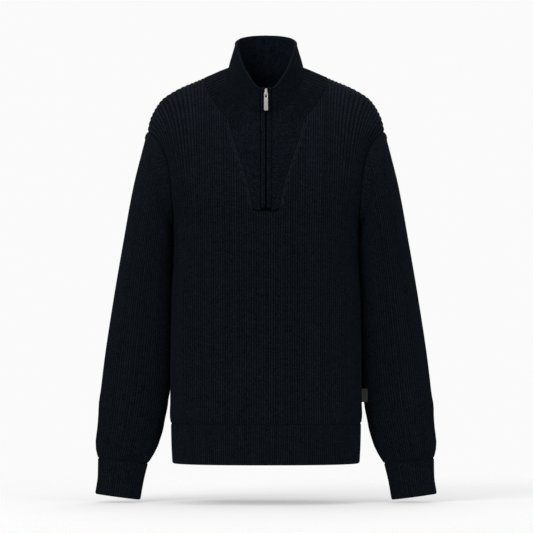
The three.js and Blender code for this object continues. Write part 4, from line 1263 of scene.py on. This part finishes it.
COLLAR = tracks("share base_x base_z top_x top_y top_z", [
    (0, 0.0345, 9.5, -81, 9.5, -77.5, -37.5), (0.06, 0.066, 13.5, -80.5, 14, -77, -36),
    (0.09, 0.095, 16.5, -79.5, 18, -75.5, -33), (0.14, 0.21, 22, -78.5, 24, -72, -26),
    (0.2, 0.38, 30, -75, 31, -66, -15), (0.27, 0.56, 39, -69, 38, -56.5, -4),
    (0.32, 0.686, 46, -62, 43, -46, 7), (0.38, 0.8, 55, -47, 47.5, -32, 20.5),
    (0.44, 0.9, 61.5, -26, 51, -16, 33.5), (0.5, 1, 66, 1, 53, 2, 43.5),
    (0.6, 0.84, 61, -1.5, 50.5, 22, 50), (0.68, 0.68, 52, -5, 45, 36, 54),
    (0.75, 0.53, 43, -8, 37, 45, 56.5), (0.88, 0.25, 22, -11.2, 19, 56, 59.3), (1, 0, 0, -12, 0, 59, 60),
])


@dataclass
class CollarPiece:
    """The stand collar, yoke and V-shaped insert, knitted in one with its ribs out from the neck."""

    cut: Cut
    half_ribs: int = 108
    stitch: RibStitch = field(default_factory=lambda: RibStitch(0.5, 5))
    base_row: float = 0.46
    side_place: float = 0.5
    rim: float = 3.6
    thick: tuple[float, float] = (2.4, 4.0)  # of the yoke and insert, and of the doubled stand

    def half(self, place: np.ndarray, up: np.ndarray) -> np.ndarray:
        """Points of the half at the wearer's left.

        Args:
            place: 0 at the zip, side_place over the shoulder, 1 at the middle of the back.
            up: 0 at the neck seam, base_row on the neck line, 1 at the top edge.

        Returns:
            Points that run straight, seen from the front, from the seam to the neck line on the
            body's face, and from there straight up to the top edge.
        """
        place, up = np.broadcast_arrays(place, up)
        t = {key: track(place) for key, track in COLLAR.items()}
        made = []
        for side in (FRONT, BACK):
            seam_x, seam_z = NECK_SEAM[side].at(np.minimum(t["share"], 1))
            low = np.clip(up / self.base_row, 0, 1)
            z = mix(seam_z, t["base_z"], low)
            lying = on_body(np.minimum(mix(seam_x, t["base_x"], low), BODY["width"](z)), z, side)
            top = np.stack([t["top_x"], t["top_y"], t["top_z"]], axis=-1)
            high = np.clip((up - self.base_row) / (1 - self.base_row), 0, 1)[..., None]
            made.append(mix(lying, top, high))
        return np.where((place <= self.side_place)[..., None], made[0], made[1])

    def shape(self, base: np.ndarray, last: np.ndarray, up: np.ndarray) -> np.ndarray:
        """The rise of the piece's face over its plain form.

        Args:
            base: The plain form's points.
            last: How far each lies from the top edge.
            up: The rows' places.

        Returns:
            Bell curves: a rolled rim along the top edge with a groove under it, a fold down from the
            collar to the shoulder on each side, and a soft hollow on the neck line.
        """
        roll = 1.25 * np.exp(-(((last - self.rim * 0.5) / (self.rim * 0.42)) ** 2))
        groove = 0.55 * np.exp(-(((last - self.rim - 1.1) / 0.8) ** 2))
        fold = -1.5 * np.exp(-(((np.abs(base[..., 0]) - 63) / 6.0) ** 2))
        fold = fold * smooth(base[..., 2], -78, -58) * (1 - smooth(base[..., 2], -38, -22))
        hollow = smooth(up, 0.36, 0.46) * (1 - smooth(up, 0.46, 0.6))
        return roll - groove + np.where(base[..., 1] < 0, fold, 0) - 0.5 * hollow

    def build(self, outside: bpy.types.Material, inside: bpy.types.Material) -> bpy.types.Object:
        """Builds the piece from the zip edge at the wearer's left round the back to the other edge.

        Args:
            outside: The finish of the face.
            inside: The finish of the back of the cloth.

        Returns:
            The piece's object.
        """
        count = self.half_ribs * self.stitch.points
        places = np.arange(2 * count + 1) / count
        half = np.where(places <= 1, places, 2 - places)
        hand = np.where(places <= 1, 1, -1)
        up = np.concatenate([edge_rows(26, 90.0, high=False) * self.base_row,
                             mix(self.base_row, 1, edge_rows(15, 46.0, low=False)[1:])])
        near_top = np.array([5.2, 4.4, 2.8, 1.6, 0.7]) / 46
        up = np.unique(np.concatenate([up, 1 - near_top * (1 - self.base_row)]))
        base = self.half(half[None], up[:, None])
        base[..., 0] *= hand
        base[:, count, 0] = 0
        first, last = runs(base, 0)
        yoke = smooth(np.abs(base[..., 0]), 26, 46) * smooth(base[..., 2], -112, -84)
        yoke = yoke * (1 - smooth(up[:, None], 0.24, 0.44))
        wall = KnitWall()
        grid = knitted(wall, base, self.stitch, mix(*self.thick, smooth(up, 0.3, 0.7)), first,
                       np.minimum.reduce([first, last, *runs(base, 1)]),
                       extra=self.shape(base, last, up[:, None]), relief=0.5 + 2.0 * yoke)
        close_rows(wall, grid, False)
        close_sides(wall, grid, False)
        piece = dress(wall.piece("collar_and_insert", (outside, inside)), "rib_knit", "collar")
        self.cut.declare(piece, ())
        return piece


# Zip, pull, label and seams

STAND_Y = Track((-81, -60, -36.5), (-float(BODY["front"](-81)), -77, -78))
FRONT_BENDS = np.array([-251, -238, -222, -206, -190, -174, -158, -142, -126, -112, -100, -90, -81,
                        -70, -59, -48, -36.5])


def front_y(z: np.ndarray) -> np.ndarray:
    """The face of the middle of the front, seen from the side: chords between the bends."""
    at = np.where(FRONT_BENDS < -81, -BODY["front"](FRONT_BENDS), STAND_Y(FRONT_BENDS))
    return np.interp(z, FRONT_BENDS, at)


def rounded_outline(half_wide: float, low: float, high: float, corner: float, count: int = 10) -> np.ndarray:
    """A rounded rectangle in x and z, against the clock, from the middle of its right side.

    Args:
        half_wide: Half its width.
        low: Its lowest z.
        high: Its highest z.
        corner: The corners' radius.
        count: Points to a corner.

    Returns:
        The outline's points, the last one before the first.
    """
    turn = np.linspace(0, np.pi / 2, count)
    corners = []
    for k, (cx, cz) in enumerate([(half_wide - corner, high - corner), (-half_wide + corner, high - corner),
                                  (-half_wide + corner, low + corner), (half_wide - corner, low + corner)]):
        angle = turn + k * np.pi / 2
        corners.append(np.stack([cx + corner * np.cos(angle), cz + corner * np.sin(angle)], axis=-1))
    return np.vstack(corners)


def plate(wall: KnitWall, outline: np.ndarray, window: np.ndarray | None, front: float, back: float,
          bevel: float) -> None:
    """Adds a flat plate with rounded edges, whole or with a window.

    Args:
        wall: The wall that takes it.
        outline: Its outline in x and z, against the clock.
        window: The window's outline with as many points, or None.
        front: y of its front.
        back: y of its back.
        bevel: The radius of its edges.
    """
    q = np.linspace(0, np.pi / 2, 5)
    inset = bevel * (1 - np.sin(np.concatenate([q, q[::-1]])))
    y = np.concatenate([front + bevel * (1 - np.cos(q)), back - bevel * (1 - np.cos(q[::-1]))])
    target = np.broadcast_to(outline.mean(axis=0), outline.shape) if window is None else window
    inward = unit(target - outline)

    def rings(edge: np.ndarray, way: np.ndarray, insets: np.ndarray, ys: np.ndarray) -> np.ndarray:
        """Rings of an edge, each set in towards the plate's middle and at its own y."""
        xz = edge[None] + way[None] * insets[:, None, None]
        return np.stack([xz[..., 0], np.broadcast_to(ys[:, None], xz.shape[:-1]), xz[..., 1]], axis=-1)

    outer = rings(outline, inward, inset, y)
    if window is None:
        ends = [np.broadcast_to([target[0, 0], yy, target[0, 1]], outer[:1].shape) for yy in (front, back)]
        made = np.concatenate([ends[0], outer, ends[1]])
        skin(wall, made, np.zeros((len(made), len(outline) + 1, 2)), True)
        return
    inner = rings(window, -inward, inset, y[::-1])
    ids = wall.add(np.concatenate([outer, inner]))
    ids = np.concatenate([ids, ids[:, :1]], axis=1)
    ids = np.concatenate([ids, ids[:1]])
    wall.sheet(ids, np.zeros((*ids.shape, 2)), True)


CLOTH, SEAM_GAP, SLIT_HALF = 2.6, 0.36, 1.4
BEHIND = CLOTH + SEAM_GAP  # how far the tapes' faces lie behind the middle of the front
SLIDER_THICK = 1.2
BRIDGE_OUT = 1.3  # from the slider's face to the middle of the pull


@dataclass
class ZipFront:
    """The zip: two knitted welts with a slit between them, the tapes, the coils, the slider and its pull."""

    welt_wide: float = 7.2
    welt_rise: float = 1.5
    welt_top: float = -36.5
    welt_foot: float = -246.5
    tape_inner: float = 2.6
    tape_outer: float = 9.0
    tape_thick: float = 0.9
    tooth_pitch: float = 1.5
    slider_ends: tuple[float, float] = (-51.2, -38.5)
    bridge_ends: tuple[float, float] = (-50.5, -43.1)
    bridge_bend: float = 1.2
    hinge_z: float = -47.0
    pull_foot: float = -77.0
    pull_wide: float = 6.8
    pull_thick: float = 1.5

    def slider_front(self) -> float:
        """y of the slider's face, which rides just before the welts."""
        return float(front_y(np.array(self.hinge_z))) - self.welt_rise - SEAM_GAP - SLIDER_THICK

    def welt(self, hand: int, finish: bpy.types.Material) -> bpy.types.Object:
        """Builds a welt: a strip of a rounded section along the zip's edge, with rounded ends.

        Args:
            hand: 1 for the wearer's left, -1 for the right.
            finish: Its material.

        Returns:
            The welt's object.
        """
        z = mix(self.welt_foot, self.welt_top, edge_rows(150, 210.0))
        turn = np.linspace(0, 2 * np.pi, 25)[:-1]
        wide, half = self.welt_wide / 2, (CLOTH + self.welt_rise) / 2
        x = wide * np.sign(np.cos(turn)) * np.abs(np.cos(turn)) ** 0.55
        y = half * np.sign(np.sin(turn)) * np.abs(np.sin(turn)) ** 0.7
        from_top, from_foot = self.welt_top - z, z - self.welt_foot
        size = np.sqrt(np.clip(1 - (1 - np.clip(np.minimum(from_top, from_foot) / 3.4, 0, 1)) ** 2, 0, 1))
        rib = 0.12 * np.cos(2 * np.pi * z / 3.0)[:, None] * (np.sin(turn)[None] < 0)
        centre = hand * (SLIT_HALF + wide)
        px = centre + x[None] * mix(0.55, 1, size)[:, None]
        middle = front_y(z)[:, None] + (CLOTH - self.welt_rise) / 2
        py = middle + y[None] * size[:, None] - rib * size[:, None]
        across = np.concatenate([turn, [2 * np.pi]]) / (2 * np.pi) * 4
        run = np.concatenate([z[:1], z, z[-1:]]) - self.welt_foot
        at = np.stack(np.broadcast_arrays(across[None], run[:, None]), axis=-1)
        wall = KnitWall()
        bar(wall, px, py, z, at)
        word = "left" if hand > 0 else "right"
        piece = dress(wall.piece(f"{word}_welt", (finish,)), "rib_knit", f"zip_welt_{word}")
        Cut(0.0105, 0.212, 0.0022).declare(piece, ("collar_and_insert",))
        return piece

    def tape(self, hand: int, finish: bpy.types.Material) -> bpy.types.Object:
        """Builds a tape: a flat woven strip behind its welt."""
        z = np.linspace(-247, -42, 80)
        low, high = sorted((hand * self.tape_inner, hand * self.tape_outer))
        back, edge = self.tape_thick, self.tape_thick - 0.1
        profile = np.array([
            (low, 0.1), (low + 0.2, 0), (mix(low, high, 0.5), -0.05), (high - 0.2, 0), (high, 0.1),
            (high, edge), (high - 0.2, back), (low + 0.2, back), (low, edge)])
        wall = KnitWall()
        bar(wall, profile[:, 0], front_y(z)[:, None] + BEHIND + profile[:, 1], z)
        word = "left" if hand > 0 else "right"
        piece = dress(wall.piece(f"{word}_zip_tape", (finish,)), "zip_tape", f"zip_tape_{word}")
        Cut(0.01, 0.207, 0.00147).declare(piece, (f"{word}_welt",))
        return piece

    def coils(self, finish: bpy.types.Material) -> bpy.types.Object:
        """Builds the coils: loops of plastic from both tapes, half a pitch apart, that lock in the middle."""
        wall = KnitWall()
        t = np.linspace(0, 1, 7)
        for hand in (1, -1):
            z = np.arange(-244.6 + (self.tooth_pitch / 2 if hand > 0 else 0), -52, self.tooth_pitch)
            path = np.stack([hand * mix(2.15, -0.45, t), 0.75 - 0.42 * np.sin(np.pi * t),
                             0.12 * np.sin(2 * np.pi * t)], axis=-1)
            rings, at = tube(path, 0.42 * np.array([0.01, 0.8, 1, 1, 1.1, 1.25, 0.01]), 6)
            loops = np.stack([np.zeros(len(z)), front_y(z) + BEHIND, z], axis=-1)[:, None, None] + rings[None]
            ids = wall.add(loops)
            ids = np.concatenate([ids, ids[:, :, :1]], axis=2)
            at = np.broadcast_to(at, (*ids.shape, 2))
            wall.cover([ids[:, *q] for q in QUAD], [at[:, *q] for q in QUAD], False)
            for row, flip in ((0, True), (-1, False)):
                six = [ids[:, row, k] for k in range(6)]
                wall.cover([six[0], six[1], six[2], six[3]], [at[:, row, k] for k in range(4)], flip)
                wall.cover([six[3], six[4], six[5], six[0]], [at[:, row, k] for k in (3, 4, 5, 0)], flip)
        strip = np.array([(-1.9, 1.1), (1.9, 1.1), (1.9, 1.5), (-1.9, 1.5)])
        z = np.linspace(-245, -51.6, 60)
        bar(wall, strip[:, 0], front_y(z)[:, None] + BEHIND + strip[:, 1], z)
        return dress(wall.piece("zip_coils", (finish,)), "zip_teeth", "zip_chain")

    def slider(self, finish: bpy.types.Material) -> bpy.types.Object:
        """Builds the slider: a rounded plate, narrower at its top, its core, and a bridge for the pull."""
        wall = KnitWall()
        front = self.slider_front()
        outline = rounded_outline(2.8, *self.slider_ends, 1.9)
        outline[:, 0] *= mix(1, 0.62, smooth(outline[:, 1], -45.5, -40))
        plate(wall, outline, None, front, front + SLIDER_THICK, 0.4)
        core = rounded_outline(0.95, -51.0, -39.8, 0.5, 5)
        plate(wall, core, None, front + 0.8, front + 8.2, 0.15)
        out = front - 2 * BRIDGE_OUT - 0.5
        low, high = self.bridge_ends
        bend, corner = self.bridge_bend, np.linspace(0, np.pi / 2, 7)
        sine, cosine = bend * np.sin(corner), bend * np.cos(corner)
        top = np.stack([0 * corner, out + bend - sine, high - bend + cosine], axis=-1)
        foot = np.stack([0 * corner, out + bend - cosine, low + bend - sine], axis=-1)
        path = np.vstack([[(0, front + 0.4, high), (0, front - 0.8, high)], top, [(0, out, (low + high) / 2)],
                          foot, [(0, front - 0.8, low), (0, front + 0.4, low)]])
        rings, at = tube(path, np.full(len(path), 0.5), 16, (1, 0, 0), 2.1)
        skin(wall, rings, at)
        return dress(wall.piece("slider_with_bridge", (finish,)), "zip_metal", "zip_slider")

    def pull(self, finish: bpy.types.Material) -> bpy.types.Object:
        """Builds the pull: a bar with a window that hangs on the slider's bridge."""
        wall = KnitWall()
        hinge_y, half = self.slider_front() - BRIDGE_OUT, self.pull_thick / 2
        top = self.hinge_z + 0.7
        outline = rounded_outline(self.pull_wide / 2, self.pull_foot, top, 1.1)
        window = rounded_outline(1.7, -54.4, top - 1.4, 0.6)
        plate(wall, outline, window, hinge_y - half, hinge_y + half, 0.42)
        return dress(wall.piece("pull_tab", (finish,)), "zip_metal", "zip_pull", body="pull")


@dataclass
class SideLabel:
    """The blank label: a woven band folded once and held in the side seam, which leans forward."""

    x_range: tuple[float, float] = (166.2, 177.0)
    z_range: tuple[float, float] = (-584.5, -561.0)
    middle_y: float = -6.35
    half_thick: float = 0.5
    lean: float = 3.2
    edge: float = 0.8
    cut: Cut = field(default_factory=lambda: Cut(0.0116, 0.0236, 0.00027))

    def build(self, finish: bpy.types.Material) -> bpy.types.Object:
        """Builds the label.

        Args:
            finish: Its material.

        Returns:
            The label's object. Its section is the folded band seen from above, it thins to its upper
            and lower edges, and a slow wave runs up it.
        """
        low, high = self.z_range
        z, s = np.linspace(low, high, 24), np.linspace(0, 1, 12)
        x, bend = mix(*self.x_range, s), -0.3 * np.sin(np.pi * s) - self.lean * s**2
        half = self.half_thick * np.array([*np.full(11, 1.0), 0.75])
        near = np.stack([x, self.middle_y + bend - half], axis=-1)
        fold = np.array([(self.x_range[1] + 0.45, self.middle_y + bend[-1])])
        far = np.stack([x, self.middle_y + bend + half], axis=-1)[::-1]
        profile = np.vstack([near, fold, far])
        wave = 0.18 * np.sin((z - high) / (high - low) * 5.0)
        from_edge = np.minimum(z - low, high - z) + self.edge / 2
        size = np.sqrt(np.clip(1 - (1 - np.clip(from_edge / self.edge, 0, 1)) ** 2, 0.3, 1))
        py = self.middle_y + (profile[:, 1] - self.middle_y)[None] * size[:, None] + wave[:, None]
        wall = KnitWall()
        bar(wall, profile[:, 0], py, z)
        piece = dress(wall.piece("folded_side_label", (finish,)), "label", "side_label")
        self.cut.declare(piece, ("front_rib_panel",), "folded")
        return piece


@dataclass
class SeamThreads:
    """The linking threads that join the pieces, sunk between their rounded edges."""

    radius: float = 1.0
    sunk: float = 1.45
    stitch: float = 3.4
    step: float = 1.1
    row_radius: float = 3.5  # of the linking rows inside the armholes
    row_sunk: float = 4.7
    edge_ribs: tuple[tuple[float, float, float], ...] = ((2.2, 1.25, 0.55), (5.4, 1.1, 0.62))

    def sink(self, line: np.ndarray) -> np.ndarray:
        """A line on the body's face moved in under it."""
        return evenly(line - body_facing(line) * self.sunk, self.step)

    def build(self, finish: bpy.types.Material) -> bpy.types.Object:
        """Builds every seam's thread in one piece.

        Args:
            finish: The threads' material.

        Returns:
            Their object.
        """
        wall = KnitWall()
        mirror = np.array([-1.0, 1.0, 1.0])
        x, z = NECK_SEAM[FRONT].at(np.linspace(0.02, 1, 400))
        lines = [self.sink(on_body(x, z, FRONT))]
        for z in (np.linspace(-18, TIP_Z, 120), np.linspace(UNDERARM_Z, BAND_TOP_Z, 60)):
            lines.append(self.sink(on_body(BODY["width"](z), z, FRONT) * np.array([1, 0, 1])))
        lines.append(self.sink(armhole_loop(np.linspace(0.001, 0.999, 500))))
        turn = np.linspace(0.002, 0.998, 260)
        ring = loop_points(CUFF, turn, np.zeros(turn.shape))
        middle = ring.mean(axis=0)
        lines.append(evenly(ring + unit(middle - ring) * self.sunk, self.step))
        lines += [line * mirror for line in lines]
        x, z = NECK_SEAM[BACK].at(np.linspace(0, 1, 200))
        across = on_body(x, z, BACK)
        lines.append(self.sink(np.vstack([across[:0:-1] * mirror, across])))
        for side in (FRONT, BACK):
            x = BODY["width"](BAND_TOP_Z) * np.sin(np.linspace(-np.pi / 2, np.pi / 2, 240))
            lines.append(self.sink(on_body(x, np.full(240, BAND_TOP_Z - 0.15), side)))
        x = np.linspace(-10, 10, 20)
        lines.append(evenly(on_body(x, np.full(20, -251.0), FRONT) + [0, 1.2, 0], self.step))
        for line in lines:
            cord(wall, line, self.radius, self.stitch)
        z = mix(TIP_Z + 1, UNDERARM_Z + 3, np.linspace(0, 1, 160) ** 1.6)
        for side in (FRONT, BACK):
            line = on_body(np.minimum(ARMHOLE_X(z) + 0.6, BODY["width"](z) - 1.5), z, side)
            line = evenly(line - body_facing(line) * self.row_sunk, 1.6)
            cord(wall, line, self.row_radius)
            cord(wall, line * mirror, self.row_radius)
        return dress(wall.piece("linking_seams", (finish,)), "rib_knit")

    def rolled_edges(self, finish: bpy.types.Material) -> bpy.types.Object:
        """Builds the ribs of the front panel that run along the insert's edges."""
        wall = KnitWall()
        x, z = NECK_SEAM[FRONT].at(np.linspace(0.105, 0.66, 260))
        way = unit(np.stack([np.gradient(x), np.gradient(z)], axis=-1))
        for off, radius, sunk in self.edge_ribs:
            line = on_body(x + way[:, 1] * off, z - way[:, 0] * off, FRONT)
            line = evenly(line - body_facing(line) * sunk, 1.2)
            cord(wall, line, radius, 3.1, 9)
            cord(wall, line * [-1, 1, 1], radius, 3.1, 9)
        return dress(wall.piece("rolled_insert_edges", (finish,)), "rib_knit")

    def foot_shadow_line(self, finish: bpy.types.Material) -> bpy.types.Object:
        """Builds the cord at the foot of the insert that carries a painted shadow in the groove there."""
        wall = KnitWall()
        x = np.linspace(-23, 23, 60)
        z = -251.0 + 5.0 * np.clip((np.abs(x) - 17) / 6, 0, 1) ** 2
        line = on_body(x, z, FRONT)
        cord(wall, evenly(line - body_facing(line) * 0.35, 1.2), 1.15, 0, 9)
        return dress(wall.piece("insert_foot_shadow_cord", (finish,)), "rib_knit")


# Studio

@dataclass
class Studio:
    """A pale floor, soft lights and the camera."""

    ground: float = 0.956
    fill: float = 0.5
    floor_z: float = -760.5
    floor_radius: float = 1300.0
    lens: float = 320.0
    sensor: float = 36.0
    wide: float = 533 * 1.75  # millimetres across the picture at the middle of the garment
    aim: tuple[float, float] = (0.9, -347.4)
    light_aim: tuple[float, float, float] = (0, 0, -0.35)

    def floor(self, finish: bpy.types.Material) -> None:
        """Builds the floor: a disc just under the cuffs."""
        turn = np.linspace(0, 2 * np.pi, 97)[:-1]
        wall = KnitWall()
        radii = np.linspace(0, self.floor_radius, 14)[1:, None]
        x, y = radii * np.cos(turn), radii * np.sin(turn)
        rings = np.stack(np.broadcast_arrays(x, y, self.floor_z), axis=-1)
        middle = wall.add(np.array([[0, 0, self.floor_z]]))[0]
        ids = wall.add(rings)
        ids = np.concatenate([ids, ids[:, :1]], axis=1)
        at = np.zeros((*ids.shape, 2))
        wall.sheet(ids, at, True)
        wall.cover([np.full(len(turn), middle), ids[0, :-1], ids[0, 1:]], [at[0, 1:]] * 3, False)
        wall.piece("studio_floor", (finish,))

    def light(self, name: str, at: tuple[float, float, float], size: float, power: float) -> None:
        """Adds a soft square light that faces the garment and doesn't show itself.

        Args:
            name: Its name.
            at: Its place in metres.
            size: The length of its side in metres.
            power: Its power in watts.
        """
        lamp = bpy.data.lights.new(name, "AREA")
        lamp.shape, lamp.size, lamp.energy = "SQUARE", size, power
        made = bpy.data.objects.new(name, lamp)
        made.location = at
        made.rotation_euler = (Vector(self.light_aim) - Vector(at)).to_track_quat("-Z", "Y").to_euler()
        made.visible_camera = False
        bpy.context.scene.collection.objects.link(made)

    def world(self) -> None:
        """Sets a near white ground behind the garment, and a softer light from all round."""
        world = bpy.data.worlds.new("studio")
        world.use_nodes = True
        tree = world.node_tree
        tree.nodes.clear()
        out = tree.nodes.new("ShaderNodeOutputWorld")
        seen, around = tree.nodes.new("ShaderNodeBackground"), tree.nodes.new("ShaderNodeBackground")
        seen.inputs["Color"].default_value = (self.ground, self.ground, self.ground, 1)
        around.inputs["Color"].default_value = (1, 1, 1, 1)
        around.inputs["Strength"].default_value = self.fill
        path, both = tree.nodes.new("ShaderNodeLightPath"), tree.nodes.new("ShaderNodeMixShader")
        tree.links.new(path.outputs["Is Camera Ray"], both.inputs[0])
        tree.links.new(around.outputs[0], both.inputs[1])
        tree.links.new(seen.outputs[0], both.inputs[2])
        tree.links.new(both.outputs[0], out.inputs[0])
        bpy.context.scene.world = world

    def camera(self) -> None:
        """Sets a long lens level with the middle of the garment, straight in front of it."""
        lens = bpy.data.cameras.new("front")
        lens.lens, lens.sensor_width = self.lens, self.sensor
        away = self.wide * MM * self.lens / self.sensor
        made = bpy.data.objects.new("front", lens)
        made.location = (self.aim[0] * MM, -away, self.aim[1] * MM)
        made.rotation_euler = (math.pi / 2, 0, 0)
        lens.clip_start, lens.clip_end = 0.1, 60
        bpy.context.scene.collection.objects.link(made)
        bpy.context.scene.camera = made

    def build(self, floor: bpy.types.Material) -> None:
        """Builds the studio.

        Args:
            floor: The floor's finish.
        """
        self.floor(floor)
        self.world()
        self.light("key", (-1.7, -2.4, 1.5), 1.6, 62.0)
        self.light("fill", (2.3, -2.2, 0.2), 2.2, 20.0)
        self.light("top", (0.1, -0.2, 2.4), 2.4, 46.0)
        self.light("back", (0.4, 2.6, 0.9), 2.0, 30.0)
        view = bpy.context.scene.view_settings
        view.view_transform, view.look, view.exposure, view.gamma = "Standard", "None", 0.0, 1.0


def main() -> None:
    logging.basicConfig(level=logging.INFO, format="%(name)s: %(message)s")
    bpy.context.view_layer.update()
    studio = Studio()
    studio.camera()
    knit = RibKnit("rib_knit_face").make()
    plain = RibKnit("rib_knit_inside", side=ClothSide.PLAIN).make()
    fine_dye, inner_dye = (0.0026, 0.0040, 0.0063), (0.0026, 0.0041, 0.0066)
    fine = RibKnit("fine_knit_face", fine_dye, course=2.3, depth=0.35, valley_shade=0.95, speckle=6.0,
                   yoke=True).make()
    fine_plain = RibKnit("fine_knit_inside", inner_dye, course=2.3, depth=0.4, side=ClothSide.PLAIN,
                         speckle=5.0).make()
    pieces = [
        BodyPanel(FRONT, Cut(0.47, 0.6, 0.225), FRONT_CREASES).build(knit, plain),
        BodyPanel(BACK, Cut(0.47, 0.61, 0.25), BACK_CREASES).build(knit, plain),
        HemBand(Cut(0.93, 0.07, 0.065)).build(knit, plain),
    ]
    for hand, folds in ((1, LEFT_FOLDS), (-1, RIGHT_FOLDS)):
        sleeve = Sleeve(hand, Cut(0.46, 0.56, 0.19), Cut(0.22, 0.066, 0.0137), folds)
        pieces += [sleeve.build(knit, plain), sleeve.build_cuff(knit, plain)]
    pieces.append(CollarPiece(Cut(0.62, 0.26, 0.063)).build(fine, fine_plain))
    tape = Woven("woven_tape", (0.0016, 0.0018, 0.0022), 1400.0, 0.85, 0.05).make()
    front = ZipFront()
    for hand in (1, -1):
        pieces += [front.welt(hand, fine), front.tape(hand, tape)]
    pieces += [
        front.coils(Coil("coil_plastic").make()),
        front.slider(Nickel("nickel_slider", worn=0.75).make()),
        front.pull(Nickel("nickel_plate").make()),
        SideLabel().build(Woven("woven_label", (0.05, 0.047, 0.05), 1700.0).make()),
    ]
    seams = SeamThreads()
    pieces += [
        seams.build(Yarn("linking_thread").make()),
        # A yarn lighter than the cloth: painted highlight along the ribs at the insert's edges; the ribs
        # themselves are real relief.
        seams.rolled_edges(Yarn("edge_rib_highlight_yarn", (0.0078, 0.0108, 0.0152)).make()),
        # A near black yarn: painted shadow in the groove at the foot of the insert.
        seams.foot_shadow_line(Yarn("foot_shadow_yarn", (0.0003, 0.0004, 0.0006)).make()),
    ]
    for piece in pieces:
        LOG.info("%s: %d faces", piece.name, len(piece.data.polygons))
    studio.build(PaleFloor("pale_floor").make())


if __name__ == "__main__":
    main()
